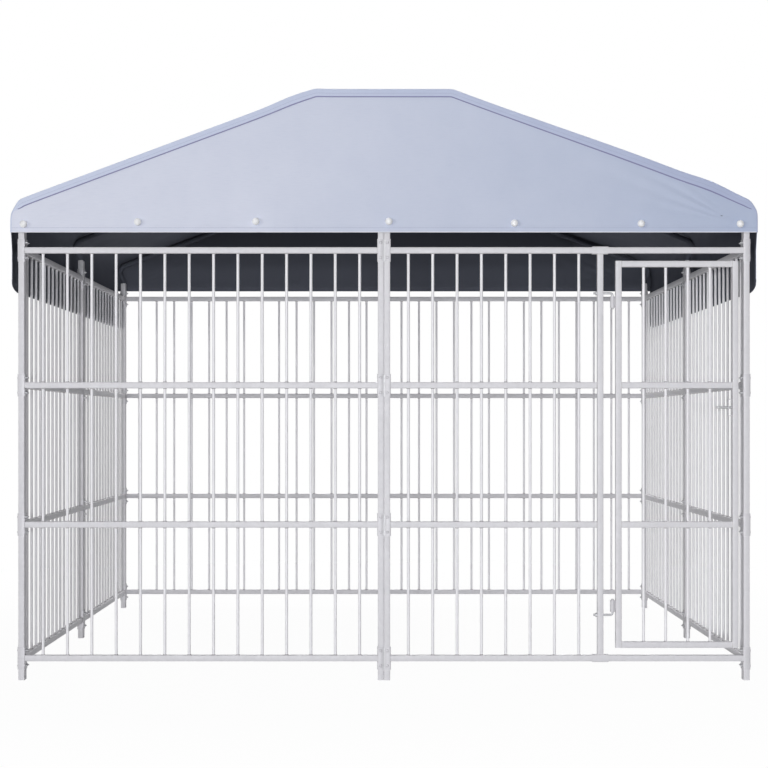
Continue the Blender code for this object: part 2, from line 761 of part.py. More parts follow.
def add_canopy_roof(cloth):
    """Roof and side skirts in one sheet, turned over the gables at both ends."""
    outer = full_profile(0)
    turned = full_profile(seam_width)
    columns = canopy_columns()
    last = len(outer) - 1
    middle = last // 2
    shape = bmesh.new()
    grid = []
    for index, (x, z) in enumerate(outer):
        rank = min(index, last - index)
        on_slope = rank >= 3 + eave_steps and rank < middle
        row = []
        for y in columns:
            height = z
            if rank == 0:
                height += skirt_lift(y)
            if on_slope:
                height -= roof_sag * math.sin(math.pi * abs(y) / canopy_half_length) ** 2
            row.append(shape.verts.new((x, y, height)))
        grid.append(row)
    for first, second in zip(grid, grid[1:]):
        for step in range(len(columns) - 1):
            shape.faces.new((first[step], second[step], second[step + 1], first[step + 1]))
    for column, skip in ((0, 2), (-1, 1)):
        y = columns[column]
        edge = {}
        for index in range(skip, last - skip + 1):
            x, z = turned[index]
            edge[index] = shape.verts.new((x, y, z))
        for index in range(skip, last - skip):
            shape.faces.new((grid[index][column], grid[index + 1][column],
                             edge[index + 1], edge[index]))
    bmesh.ops.recalc_face_normals(shape, faces=shape.faces)
    crown = max(shape.faces, key=lambda face: face.calc_center_median().z)
    if crown.normal.z < 0:
        bmesh.ops.reverse_faces(shape, faces=shape.faces)
    mesh = bpy.data.meshes.new("canopy_sheet")
    shape.to_mesh(mesh)
    shape.free()
    roof = add_object("canopy_roof", mesh, cloth)
    shell = roof.modifiers.new("cloth", "SOLIDIFY")
    shell.thickness = sheet_thickness
    shell.offset = -1.0
    shell.use_even_offset = True


def add_gable(name, cloth, outer_y, hem_z):
    """Flat end wall that fills the section inside the turned edge of the roof."""
    outline = [(x, z) for x, z in full_profile(seam_width + fit_gap) if z > hem_z + fit_gap]
    edge_x = canopy_half_width - seam_width - fit_gap
    outline = [(-edge_x, hem_z), *outline, (edge_x, hem_z)]
    inner_y = outer_y - math.copysign(sheet_thickness, outer_y)
    shape = bmesh.new()
    add_prism(shape, outline, "Y", outer_y, inner_y)
    add_object(name, finish_mesh(name, shape), cloth)


def add_canopy(cloth):
    add_canopy_roof(cloth)
    add_gable("canopy_gable_front", cloth, -canopy_half_length, front_hem_z)
    add_gable("canopy_gable_rear", cloth, canopy_half_length, rear_hem_z)


def build():
    clear_scene()
    steel = make_material("galvanised_tube", (0.62, 0.61, 0.64), 0.42, 0.75)
    zinc = make_material("zinc_plated_fitting", (0.58, 0.57, 0.60), 0.38, 0.85)
    cloth = make_material("canopy_cloth", (0.58, 0.63, 0.76), 0.7, 0.0)
    add_panels(steel)
    add_door_panel(steel)
    add_jamb(steel)
    hinge = add_axis("gate_hinge_axis", (hinge_x, front_mid_y, 0))
    add_gate(steel, hinge)
    add_hinge_pins(zinc)
    add_latch(zinc, hinge)
    add_clamps(zinc)
    add_roof_frame(steel, zinc)
    add_canopy(cloth)


build()
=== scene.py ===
"""Outdoor dog kennel, dressed: galvanised bar panels, clamps, a hung gate and a tented canopy.

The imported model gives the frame. Every piece here stands on it, in the same axes and in metres.
"""

import math

import bmesh
import bpy
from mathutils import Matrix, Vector, noise


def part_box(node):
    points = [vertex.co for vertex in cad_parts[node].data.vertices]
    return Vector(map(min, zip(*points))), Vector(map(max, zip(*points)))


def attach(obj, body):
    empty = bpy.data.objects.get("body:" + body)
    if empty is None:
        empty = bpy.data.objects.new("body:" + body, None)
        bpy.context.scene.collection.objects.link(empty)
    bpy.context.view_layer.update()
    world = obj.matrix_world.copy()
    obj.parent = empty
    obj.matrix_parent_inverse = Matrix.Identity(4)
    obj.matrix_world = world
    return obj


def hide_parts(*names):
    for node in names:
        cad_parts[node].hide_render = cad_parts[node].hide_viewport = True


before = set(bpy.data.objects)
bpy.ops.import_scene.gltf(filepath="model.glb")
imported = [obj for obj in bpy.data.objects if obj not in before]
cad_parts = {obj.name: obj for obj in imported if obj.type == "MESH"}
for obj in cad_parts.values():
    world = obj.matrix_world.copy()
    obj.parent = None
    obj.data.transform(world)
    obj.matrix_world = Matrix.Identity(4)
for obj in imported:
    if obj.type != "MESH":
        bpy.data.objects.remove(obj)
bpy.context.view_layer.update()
quarter = math.pi / 2

# Sizes of the steelwork, in metres

tube = 0.025
tube_wall = 0.0015
tube_corner = 0.0024
bar_radius = 0.006
bar_step = 0.1
post_height = 1.850
panel_width = 1.500
post_bore = 0.045
pin_radius = 0.005
pin_bore = pin_radius + 0.0006
rod_bend = 0.010  # radius of the bend in pins and latch bolt
barrel_radius = 0.0096
barrel_wall = 0.0041
clamp_wall = 0.0022
weld_round = 0.0016
gate_hinge = (0.93815, -1.51295)  # x and y of the hinge axis
lower_barrel = (0.280, 0.327)
upper_barrel = (1.528, 1.575)
lower_arm = 0.267  # heights of the pins' level arms
upper_arm = 1.588

# Sizes of the canopy

half_width = 1.53015
half_length = 1.54545
eave_height = 1.958
roof_height = 2.4226
flat_half = 0.2815
eave_radius = 0.070
crown_radius = 0.080
skirt_hem = 1.595
front_hem = 1.835
rear_hem = 1.810
hem_width = 0.023
seam_width = 0.035
seam_foot = 1.930  # where the turned edge's seam ends, under the eave
fold_radius = 0.005
roof_end = half_length - fold_radius
corner_length = 0.160  # how far from the gable the skirt's corner begins to lift
corner_rise = 0.034
first_slope_row = 21
far_from_edge = 0.1  # in the edge map: too far away for a hem or a stitch
cloth_thickness = 0.0012
gable_face = half_length - cloth_thickness - 0.0004
pitch = math.atan2(roof_height - eave_height, half_width - flat_half)
bend = quarter - pitch
eave_x, eave_z = half_width - eave_radius, eave_height - eave_radius * math.tan(bend / 2)
crown_x, crown_z = flat_half - crown_radius * math.tan(pitch / 2), roof_height - crown_radius
slope_bow = 0.012
# Fasteners of the hem, each with its place along it and its height above it
fasteners = ((-1.474, 0.033), (-1.007, 0.042), (-0.524, 0.044), (0.020, 0.044), (0.533, 0.037),
             (1.051, 0.035), (1.456, 0.034))


# Camera, before anything else

def set_camera():
    lens = bpy.data.cameras.new("photo_camera")
    lens.lens = 88
    lens.sensor_width = 36
    lens.shift_y = 0.0508
    camera = bpy.data.objects.new("photo_camera", lens)
    camera.location = (0, -9.225, 1.055)
    camera.rotation_euler = (quarter, 0, 0)
    bpy.context.scene.collection.objects.link(camera)
    bpy.context.scene.camera = camera


# Hand tools: each works on one piece, with nothing else selected

def pick(piece):
    bpy.ops.object.select_all(action="DESELECT")
    piece.select_set(True)
    bpy.context.view_layer.objects.active = piece


def named(name):
    """The primitive that was just added, with its place put into its mesh."""
    piece = bpy.context.object
    piece.name = name
    piece.data.name = name
    bpy.ops.object.transform_apply(location=True, rotation=True, scale=True)
    return piece


def add_block(name, low, high):
    centre = [(a + b) / 2 for a, b in zip(low, high)]
    size = [b - a for a, b in zip(low, high)]
    bpy.ops.mesh.primitive_cube_add(size=1, location=centre, scale=size)
    return named(name)


def add_round(name, radius, start, end, sides, far_radius=None, ends="NGON"):
    """A rod or a cone between two points."""
    start, end = Vector(start), Vector(end)
    run = end - start
    bpy.ops.mesh.primitive_cone_add(
        vertices=sides, radius1=radius, radius2=radius if far_radius is None else far_radius,
        depth=run.length, end_fill_type=ends, location=(start + end) / 2,
        rotation=run.to_track_quat("Z", "Y").to_euler())
    return named(name)


def add_pipe(name, radius, wall, start, end):
    """An open tube between two points, with its rims softened."""
    pipe = add_round(name, radius, start, end, 32, ends="NOTHING")
    give_wall(pipe, wall)
    round_edges(pipe, sharp, 0.0006, 2)
    return pipe


def start_edit(piece):
    pick(piece)
    bpy.ops.object.mode_set(mode="EDIT")
    bpy.ops.mesh.select_mode(type="VERT")
    bpy.ops.mesh.select_all(action="DESELECT")


def end_edit():
    bpy.ops.object.mode_set(mode="OBJECT")


def choose(piece, kind, wanted):
    """Select the verts, edges or faces of a piece in edit mode that pass a test."""
    bpy.ops.mesh.select_mode(type={"verts": "VERT", "edges": "EDGE", "faces": "FACE"}[kind])
    bpy.ops.mesh.select_all(action="DESELECT")
    shape = bmesh.from_edit_mesh(piece.data)
    for item in getattr(shape, kind):
        if wanted(item):
            item.select_set(True)
    bmesh.update_edit_mesh(piece.data)


def cut_away(piece, wanted):
    """Take away the faces of a piece in edit mode that pass a test."""
    choose(piece, "faces", wanted)
    bpy.ops.mesh.delete(type="FACE")


def select_all():
    bpy.ops.mesh.select_all(action="SELECT")


def pull(x, y, z):
    """Extrude what is selected and move it."""
    bpy.ops.mesh.extrude_region_move(TRANSFORM_OT_translate={"value": (x, y, z)})


def sharp(edge):
    return edge.calc_face_angle(0) > 1.2


def runs_along(axis):
    def test(edge):
        run = edge.verts[1].co - edge.verts[0].co
        return abs(run.normalized()[axis]) > 0.99
    return test


def round_edges(piece, wanted, width, segments):
    start_edit(piece)
    choose(piece, "edges", wanted)
    bpy.ops.mesh.bevel(offset=width, segments=segments, affect="EDGES")
    end_edit()


def apply(piece, modifier):
    pick(piece)
    bpy.ops.object.modifier_apply(modifier=modifier.name)


def repeat(piece, count, step):
    modifier = piece.modifiers.new("repeat", "ARRAY")
    modifier.count = count
    modifier.use_relative_offset = False
    modifier.use_constant_offset = True
    modifier.constant_offset_displace = step
    apply(piece, modifier)


def give_wall(piece, thickness, inside=None, rim=0):
    """Give a surface its thickness, inwards, with the next material on the inside if asked."""
    modifier = piece.modifiers.new("wall", "SOLIDIFY")
    modifier.thickness = thickness
    modifier.offset = -1
    modifier.use_even_offset = True
    if inside is not None:
        modifier.material_offset = inside
        modifier.material_offset_rim = rim
    apply(piece, modifier)


def bore(piece, radius, start, end):
    cutter = add_round("cutter", radius, start, end, 24)
    modifier = piece.modifiers.new("bore", "BOOLEAN")
    modifier.operation = "DIFFERENCE"
    modifier.solver = "EXACT"
    modifier.object = cutter
    apply(piece, modifier)
    drop(cutter)


def join(pieces, name):
    pick(pieces[0])
    for piece in pieces:
        piece.select_set(True)
    bpy.ops.object.join()
    pieces[0].name = name
    pieces[0].data.name = name
    return pieces[0]


def from_mesh(name, mesh):
    piece = bpy.data.objects.new(name, mesh)
    bpy.context.scene.collection.objects.link(piece)
    return piece


def drop(piece):
    bpy.data.objects.remove(piece, do_unlink=True)


def copied(piece, name, place=(0, 0, 0), turn=(0, 0, 0)):
    """A copy with its own mesh, turned and moved in its mesh."""
    pick(piece)
    bpy.ops.object.duplicate()
    copy = bpy.context.object
    copy.rotation_euler = turn
    copy.location = place
    return named(name)


def smooth(piece, degrees=38):
    pick(piece)
    bpy.ops.object.shade_smooth_by_angle(angle=math.radians(degrees))


def paint(piece, *materials):
    piece.data.materials.clear()
    for material in materials:
        piece.data.materials.append(material)


def middle(node):
    """Centre of a node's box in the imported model."""
    low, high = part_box(node)
    return [(a + b) / 2 for a, b in zip(low, high)]


def put(piece, slot, body, *nodes):
    """Settle a finished piece: what it moves with and what it stands for. The slot, its finish, is
    not used.
    """
    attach(piece, body)
    if nodes:
        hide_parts(*nodes)


# Shader node tools

def new_group(name, setting, value, outputs):
    """A group that takes a place and one number, and gives out numbers."""
    group = bpy.data.node_groups.new(name, "ShaderNodeTree")
    sockets = group.interface
    sockets.new_socket("Vector", in_out="INPUT", socket_type="NodeSocketVector")
    number = sockets.new_socket(setting, in_out="INPUT", socket_type="NodeSocketFloat")
    number.default_value = value
    for label in outputs:
        sockets.new_socket(label, in_out="OUTPUT", socket_type="NodeSocketFloat")
    return group, group.nodes.new("NodeGroupInput"), group.nodes.new("NodeGroupOutput")


def feed(tree, socket, value):
    """Set a socket to a number or a colour, or link it to another node's output."""
    if isinstance(value, tuple):
        socket.default_value = (*value, 1)
    elif isinstance(value, (int, float)):
        socket.default_value = value
    else:
        tree.links.new(value, socket)


def wire(tree, source, node, label):
    feed(tree, node.inputs[label], source)


def math_node(tree, operation, first, second=None, clamp=False):
    node = tree.nodes.new("ShaderNodeMath")
    node.operation = operation
    node.use_clamp = clamp
    feed(tree, node.inputs[0], first)
    if second is not None:
        feed(tree, node.inputs[1], second)
    return node.outputs[0]


def ramp_node(tree, value, low, high, start=0.0, end=1.0):
    node = tree.nodes.new("ShaderNodeMapRange")
    node.interpolation_type = "SMOOTHSTEP"
    wire(tree, value, node, "Value")
    ends = {"From Min": low, "From Max": high, "To Min": start, "To Max": end}
    for label, number in ends.items():
        node.inputs[label].default_value = number
    return node.outputs["Result"]


def noise_node(tree, vector, scale, detail=3.0, roughness=0.5):
    node = tree.nodes.new("ShaderNodeTexNoise")
    wire(tree, vector, node, "Vector")
    node.inputs["Scale"].default_value = scale
    node.inputs["Detail"].default_value = detail
    node.inputs["Roughness"].default_value = roughness
    return node.outputs["Fac"]


def mix_node(tree, mask, first, second):
    node = tree.nodes.new("ShaderNodeMix")
    node.data_type = "RGBA"
    wire(tree, mask, node, "Factor")
    feed(tree, node.inputs["A"], first)
    feed(tree, node.inputs["B"], second)
    return node.outputs["Result"]


def bump_node(tree, height, strength, distance, normal=None):
    node = tree.nodes.new("ShaderNodeBump")
    node.inputs["Strength"].default_value = strength
    node.inputs["Distance"].default_value = distance
    wire(tree, height, node, "Height")
    if normal is not None:
        wire(tree, normal, node, "Normal")
    return node.outputs["Normal"]


def place_group(tree, group, **values):
    node = tree.nodes.new("ShaderNodeGroup")
    node.node_tree = group
    for label, value in values.items():
        wire(tree, value, node, label.replace("_", " "))
    return node.outputs


def new_material(name, metallic=0.0, specular=0.5):
    material = bpy.data.materials.new(name)
    material.use_nodes = True
    tree = material.node_tree
    shader = tree.nodes["Principled BSDF"]
    shader.inputs["Metallic"].default_value = metallic
    shader.inputs["Specular IOR Level"].default_value = specular
    coordinates = tree.nodes.new("ShaderNodeTexCoord")
    return material, tree, shader, coordinates


# Effects that several finishes share

def zinc_spangle_group():
    """Crystal patches of hot zinc: each patch has its own grey, with a fine line between them."""
    group, inside, outside = new_group("zinc_spangle", "Patch Scale", 90.0,
                                       ("Patches", "Cloudiness", "Height"))
    patches = group.nodes.new("ShaderNodeTexVoronoi")
    patches.feature = "F1"
    patches.inputs["Randomness"].default_value = 1.0
    wire(group, inside.outputs["Vector"], patches, "Vector")
    wire(group, inside.outputs["Patch Scale"], patches, "Scale")
    split = group.nodes.new("ShaderNodeSeparateColor")
    wire(group, patches.outputs["Color"], split, "Color")
    clouds = noise_node(group, inside.outputs["Vector"], 9.0, 4.0, 0.6)
    grain = noise_node(group, inside.outputs["Vector"], 420.0, 2.0, 0.5)
    wire(group, split.outputs["Red"], outside, "Patches")
    wire(group, clouds, outside, "Cloudiness")
    relief = math_node(group, "MULTIPLY", patches.outputs["Distance"], 0.5)
    wire(group, math_node(group, "ADD", relief, grain), outside, "Height")
    return group


def dulling_group():
    """Dull, slightly darker blooms and drips where water has stood on the zinc."""
    group, inside, outside = new_group("zinc_dulling", "Amount", 0.5, ("Mask",))
    stretch = group.nodes.new("ShaderNodeMapping")
    stretch.inputs["Scale"].default_value = (1.0, 1.0, 0.25)
    wire(group, inside.outputs["Vector"], stretch, "Vector")
    drips = noise_node(group, stretch.outputs["Vector"], 34.0, 5.0, 0.62)
    mask = ramp_node(group, drips, 0.50, 0.74)
    wire(group, math_node(group, "MULTIPLY", mask, inside.outputs["Amount"]), outside, "Mask")
    return group


def weave_group():
    """Plain weave of flat threads, from the cloth's own flat map in metres."""
    group, inside, outside = new_group("cloth_weave", "Thread Scale", 110.0, ("Height", "Slubs"))
    bands = []
    for direction in ("X", "Y"):
        wave = group.nodes.new("ShaderNodeTexWave")
        wave.wave_type = "BANDS"
        wave.bands_direction = direction
        wire(group, inside.outputs["Vector"], wave, "Vector")
        wire(group, inside.outputs["Thread Scale"], wave, "Scale")
        bands.append(wave.outputs["Fac"])
    wire(group, math_node(group, "MULTIPLY", *bands), outside, "Height")
    stretch = group.nodes.new("ShaderNodeMapping")
    stretch.inputs["Scale"].default_value = (1.0, 12.0, 1.0)
    wire(group, inside.outputs["Vector"], stretch, "Vector")
    wire(group, noise_node(group, stretch.outputs["Vector"], 24.0, 2.0), outside, "Slubs")
    return group


def stitch_group():
    """Dashes of thread along an edge: U runs along it and V is the distance from it, in metres."""
    group, inside, outside = new_group("stitch_line", "Distance", 0.018, ("Thread", "Groove"))
    split = group.nodes.new("ShaderNodeSeparateXYZ")
    wire(group, inside.outputs["Vector"], split, "Vector")
    away = math_node(group, "ABSOLUTE",
                     math_node(group, "SUBTRACT", split.outputs["Y"], inside.outputs["Distance"]))
    dash = math_node(group, "PINGPONG", split.outputs["X"], 0.0022)
    dash = ramp_node(group, dash, 0.0004, 0.0007)
    line = ramp_node(group, away, 0.0004, 0.0007, 1.0, 0.0)
    wire(group, math_node(group, "MULTIPLY", line, dash), outside, "Thread")
    wire(group, ramp_node(group, away, 0.0006, 0.0028, 1.0, 0.0), outside, "Groove")
    return group


spangle_effect = zinc_spangle_group()
dulling_effect = dulling_group()
weave_effect = weave_group()
stitch_effect = stitch_group()


def zinc_material(name, bright, dull, metallic, patch_scale, roughness, dulling):
    material, tree, shader, coordinates = new_material(name, metallic, 0.15)
    place = coordinates.outputs["Object"]
    spangle = place_group(tree, spangle_effect, Vector=place, Patch_Scale=patch_scale)
    worn = place_group(tree, dulling_effect, Vector=place, Amount=dulling)["Mask"]
    tone = math_node(tree, "MULTIPLY", spangle["Patches"], 0.40)
    tone = math_node(tree, "ADD", tone, math_node(tree, "MULTIPLY", spangle["Cloudiness"], 0.60))
    colour = mix_node(tree, tone, bright, tuple(value * 0.93 for value in bright))
    wire(tree, mix_node(tree, worn, colour, dull), shader, "Base Color")
    wire(tree, ramp_node(tree, tone, 0.1, 0.9, roughness - 0.04, roughness + 0.06),
         shader, "Roughness")
    wire(tree, bump_node(tree, spangle["Height"], 0.12, 0.0002), shader, "Normal")
    return material


def weld_material():
    material, tree, shader, coordinates = new_material("weld_bead", 0.5)
    place = coordinates.outputs["Object"]
    ripple = noise_node(tree, place, 520.0, 2.0, 0.6)
    smoke = noise_node(tree, place, 60.0, 3.0, 0.6)
    wire(tree, mix_node(tree, smoke, (0.60, 0.59, 0.60), (0.44, 0.43, 0.44)), shader, "Base Color")
    shader.inputs["Roughness"].default_value = 0.55
    wire(tree, bump_node(tree, ripple, 0.8, 0.0006), shader, "Normal")
    return material


def cloth_material(name, pale, deep, thread, rim, roughness, sheen, shine=0.3, rim_width=0.0029):
    """Coated woven cloth. Large soft changes of tone, a fine weave, and stitches along its edges.
    Painted light makes it paler towards the left. The rim is the colour of the last millimetres
    before an edge: a pale painted highlight along the hems, or a dark painted shadow line at a
    seam."""
    material, tree, shader, coordinates = new_material(name, 0.0, shine)
    flat = tree.nodes.new("ShaderNodeUVMap")
    flat.uv_map = "flat_cloth"
    edge = tree.nodes.new("ShaderNodeUVMap")
    edge.uv_map = "edge_run"
    place = coordinates.outputs["Object"]
    weave = place_group(tree, weave_effect, Vector=flat.outputs["UV"], Thread_Scale=110.0)
    stitch = place_group(tree, stitch_effect, Vector=edge.outputs["UV"], Distance=0.019)
    drift = noise_node(tree, place, 1.1, 3.0, 0.55)
    blotch = noise_node(tree, place, 7.0, 4.0, 0.6)
    tone = math_node(tree, "ADD", math_node(tree, "MULTIPLY", drift, 0.25),
                     math_node(tree, "MULTIPLY", blotch, 0.10))
    # Painted light: the cloth is painted paler towards the left, the side the light comes from
    across = tree.nodes.new("ShaderNodeSeparateXYZ")
    wire(tree, place, across, "Vector")
    painted_light_from_left = ramp_node(tree, across.outputs["X"], -1.9, 1.9, 0.0, 0.65)
    colour = mix_node(tree, math_node(tree, "ADD", tone, painted_light_from_left, clamp=True), pale, deep)
    slub = math_node(tree, "MULTIPLY", ramp_node(tree, weave["Slubs"], 0.45, 0.75), 0.08)
    colour = mix_node(tree, slub, colour, deep)
    colour = mix_node(tree, stitch["Thread"], colour, thread)
    # Painted rim along an edge: a pale painted highlight on the hems, or a dark painted shadow line
    # where the turned edge overlaps the gable
    away = tree.nodes.new("ShaderNodeSeparateXYZ")
    wire(tree, edge.outputs["UV"], away, "Vector")
    near = ramp_node(tree, away.outputs["Y"], rim_width - 0.0007, rim_width + 0.0007, 1.0, 0.0)
    colour = mix_node(tree, near, colour, rim)
    wire(tree, colour, shader, "Base Color")
    wire(tree, ramp_node(tree, blotch, 0.3, 0.7, roughness - 0.05, roughness + 0.06),
         shader, "Roughness")
    shader.inputs["Sheen Weight"].default_value = sheen
    shader.inputs["Sheen Roughness"].default_value = 0.5
    threads = math_node(tree, "MULTIPLY", weave["Height"], 0.3)
    sewn = math_node(tree, "SUBTRACT", stitch["Thread"], stitch["Groove"])
    relief = math_node(tree, "ADD", threads, sewn)
    creases = bump_node(tree, noise_node(tree, place, 16.0, 3.0, 0.5), 0.12, 0.004)
    wire(tree, bump_node(tree, relief, 0.5, 0.0006, creases), shader, "Normal")
    return material


def plastic_material(name, colour, roughness):
    material, tree, shader, coordinates = new_material(name, 0.0, 0.5)
    place = coordinates.outputs["Object"]
    scuff = ramp_node(tree, noise_node(tree, place, 180.0, 4.0, 0.6), 0.55, 0.8)
    dim = tuple(value * 0.9 for value in colour)
    wire(tree, mix_node(tree, scuff, colour, dim), shader, "Base Color")
    wire(tree, ramp_node(tree, scuff, 0.0, 1.0, roughness, roughness + 0.2), shader, "Roughness")
    wire(tree, bump_node(tree, noise_node(tree, place, 900.0), 0.15, 0.0001), shader, "Normal")
    return material


tube_zinc = zinc_material("galvanised_tube", (0.71, 0.70, 0.73), (0.60, 0.59, 0.62), 0.08,
                          95.0, 0.50, 0.30)
# The bars are painted near white, brighter than the tubes of the same zinc: a painted highlight for
# their lit side
bar_zinc_painted_bright = zinc_material("galvanised_bar", (0.94, 0.93, 0.96), (0.82, 0.81, 0.84), 0.05,
                         140.0, 0.45, 0.25)
fitting_zinc = zinc_material("zinc_plated_fitting", (0.64, 0.63, 0.66), (0.52, 0.52, 0.54), 0.12,
                             160.0, 0.45, 0.40)
bolt_zinc = zinc_material("bright_bolt", (0.56, 0.56, 0.58), (0.36, 0.36, 0.38), 0.25,
                          300.0, 0.36, 0.5)
weld_zinc = weld_material()
# The outside cloth's rim colour is a pale painted highlight along its hems
outer_cloth = cloth_material("canopy_cloth_outside", (0.84, 0.85, 0.95), (0.40, 0.47, 0.64),
                             (0.36, 0.40, 0.56), (0.88, 0.88, 0.95), 0.62, 0.08)
# The turned edge is the roof cloth painted darker as painted shade; its rim is a dark line of
# painted shadow under the seam, with the seam's thread in it
turned_edge_shaded_cloth = cloth_material("canopy_cloth_turned_edge_painted_shade", (0.72, 0.77, 0.93), (0.40, 0.45, 0.64),
                            (0.36, 0.40, 0.56), (0.24, 0.24, 0.42), 0.62, 0.08, rim_width=0.0052)
inner_cloth = cloth_material("canopy_cloth_inside", (0.112, 0.119, 0.147), (0.100, 0.107, 0.134),
                             (0.17, 0.18, 0.20), (0.106, 0.113, 0.140), 0.80, 0.0, 0.05)
ball_plastic = plastic_material("white_fastener", (0.95, 0.95, 0.96), 0.30)


# Barred panels

rails = {level: middle(f"clamp_front_middle_{level}")[2]
         for level in ("bottom", "lower", "upper", "top")}
latch_z = middle("latch_bolt")[2]


def add_tube(name, low, high, along):
    """Square tube with rolled corners."""
    piece = add_block(name, low, high)
    round_edges(piece, runs_along(along), tube_corner, 3)
    paint(piece, tube_zinc, weld_zinc)
    return piece


def open_end(piece, height, depth):
    """Sink the end of an upright tube, so that its wall shows."""
    up = 1 if depth < 0 else -1
    start_edit(piece)
    choose(piece, "faces", lambda face: face.normal.z * up > 0.9
           and abs(face.calc_center_median().z - height) < 0.0001)
    bpy.ops.mesh.inset(thickness=tube_wall, use_even_offset=True)
    pull(0, 0, depth)
    end_edit()


def add_stile(name, x):
    stile = add_tube(name, (x, -tube / 2, 0), (x + tube, tube / 2, post_height), 2)
    open_end(stile, post_height, -post_bore)
    open_end(stile, 0, 0.018)
    return stile


def paint_weld(piece):
    """A weld is the second finish of the panel that it is joined to."""
    paint(piece, tube_zinc, weld_zinc)
    piece.data.polygons.foreach_set("material_index", [1] * len(piece.data.polygons))


def add_weld(low, high, width=weld_round):
    bead = add_block("weld", low, high)
    round_edges(bead, lambda edge: True, width, 2)
    paint_weld(bead)
    return bead


def add_rail_weld(x, z):
    """Low bead round the end of a rail, where it meets a post."""
    reach = tube / 2 + 0.0009
    return add_weld((x - 0.0019, -reach, z - reach), (x + 0.0019, reach, z + reach))


def add_bars(name, first, count, step, levels, wide=0.0092):
    """Upright bars between rails, with a small fillet weld at each end. Levels are (low, high)."""
    pieces = []
    for low, high in levels:
        rod = add_round("bar", bar_radius, (first, 0, low - 0.001), (first, 0, high + 0.001), 16)
        paint(rod, bar_zinc_painted_bright, weld_zinc)
        pieces.append(rod)
        for z, lift in ((low, 0.0032), (high, -0.0032)):
            fillet = add_round("fillet", wide, (first, 0, z), (first, 0, z + lift), 12,
                               far_radius=bar_radius + 0.0003)
            paint_weld(fillet)
            pieces.append(fillet)
    bars = join(pieces, name)
    if count > 1:
        repeat(bars, count, (step, 0, 0))
    return bars


def bays(low, high, middles):
    """Clear heights between the rails, from the lowest rail to the highest."""
    lines = [low]
    for z in middles:
        lines += [z - tube / 2, z + tube / 2]
    lines.append(high)
    return list(zip(lines[::2], lines[1::2]))


panel_bays = bays(rails["bottom"] + tube / 2, rails["top"] - tube / 2,
                  (rails["lower"], rails["upper"]))


def add_rails(heights, left=tube, right=panel_width - tube, sunk=0.0):
    """Level rails between two uprights, each with a weld at both ends."""
    pieces = []
    for z in heights:
        pieces.append(add_tube("rail", (left, -tube / 2, z - tube / 2),
                               (right, tube / 2, z + tube / 2), 0))
        pieces += [add_rail_weld(left + sunk, z), add_rail_weld(right - sunk, z)]
    return pieces


def make_panel():
    """The pattern panel: two stiles, four rails and fourteen bars. X runs along it."""
    pieces = [add_stile("stile", 0), add_stile("stile", panel_width - tube)]
    pieces += add_rails(rails.values())
    pieces.append(add_bars("bars", bar_step, 14, bar_step, panel_bays))
    panel = join(pieces, "pattern_panel")
    smooth(panel)
    return panel


def hang_panels():
    pattern = make_panel()
    for node in sorted(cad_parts):
        if not node.startswith("panel_"):
            continue
        low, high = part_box(node)
        if high[0] - low[0] > high[1] - low[1]:
            place, turn = (low[0], middle(node)[1], 0), 0
        else:
            place, turn = (middle(node)[0], low[1], 0), quarter
        piece = copied(pattern, f"{node}_welded", place, (0, 0, turn))
        put(piece, "galvanised_tube", "root", node)
    drop(pattern)


# Door panel

def set_door_panel():
    """Frame with the bolt's bore in its far stile, and the fixed bars beside the doorway."""
    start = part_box("door_panel_frame")[0][0]
    mouth = panel_width - tube
    frame_pieces = [add_stile("stile", 0), add_stile("stile", mouth)]
    frame_pieces += add_rails((rails["bottom"], rails["top"]))
    bore(frame_pieces[1], pin_bore, (mouth - 0.01, 0, latch_z), (mouth + 0.016, 0, latch_z))

    left, right = (corner[0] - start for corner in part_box("door_panel_bars"))
    bar_pieces = add_rails((rails["lower"], rails["upper"]), left, right, weld_round)
    bar_pieces.append(add_bars("bars", bar_step, 8, bar_step, panel_bays))
    for node, pieces in (("door_panel_frame", frame_pieces), ("door_panel_bars", bar_pieces)):
        pattern = join(pieces, f"pattern_{node}")
        smooth(pattern)
        piece = copied(pattern, f"{node}_welded", (start, middle("door_panel_frame")[1], 0))
        put(piece, "galvanised_tube", "root", node)
        drop(pattern)


def set_jamb():
    """The post beside the doorway, with a pressed collar round each rail and its hinge bores."""
    low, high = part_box("door_jamb")
    x, y, _ = middle("door_jamb")
    half = tube / 2
    post = add_tube("post", (x - half, y - half, rails["bottom"] + half),
                    (x + half, y + half, rails["top"] - half), 2)
    for z in (lower_arm, upper_arm):
        bore(post, pin_bore, (x - tube, y, z), (x + tube, y, z))
    pieces = [post]
    for level, inward in (("bottom", 1), ("top", -1)):
        z = rails[level]
        reach = (high[1] - low[1]) / 2
        width = (high[0] - low[0]) / 2
        collar = add_block("collar", (x - width, y - reach, z - reach),
                           (x + width, y + reach, z + reach))
        round_edges(collar, runs_along(0), 0.003, 3)
        start_edit(collar)
        cut_away(collar, lambda face: abs(face.normal.x) > 0.9)
        end_edit()
        give_wall(collar, 0.0023)
        paint(collar, tube_zinc, weld_zinc)
        seat = z + inward * reach
        bead = add_weld((x - half - 0.001, y - half - 0.001, seat - 0.0018),
                        (x + half + 0.001, y + half + 0.001, seat + 0.0022))
        pieces += [collar, bead]
    jamb = join(pieces, "door_jamb_welded")
    smooth(jamb)
    put(jamb, "galvanised_tube", "root", "door_jamb")


# Gate

def shifted(piece, y):
    piece.location.y = y
    pick(piece)
    return named(piece.name)


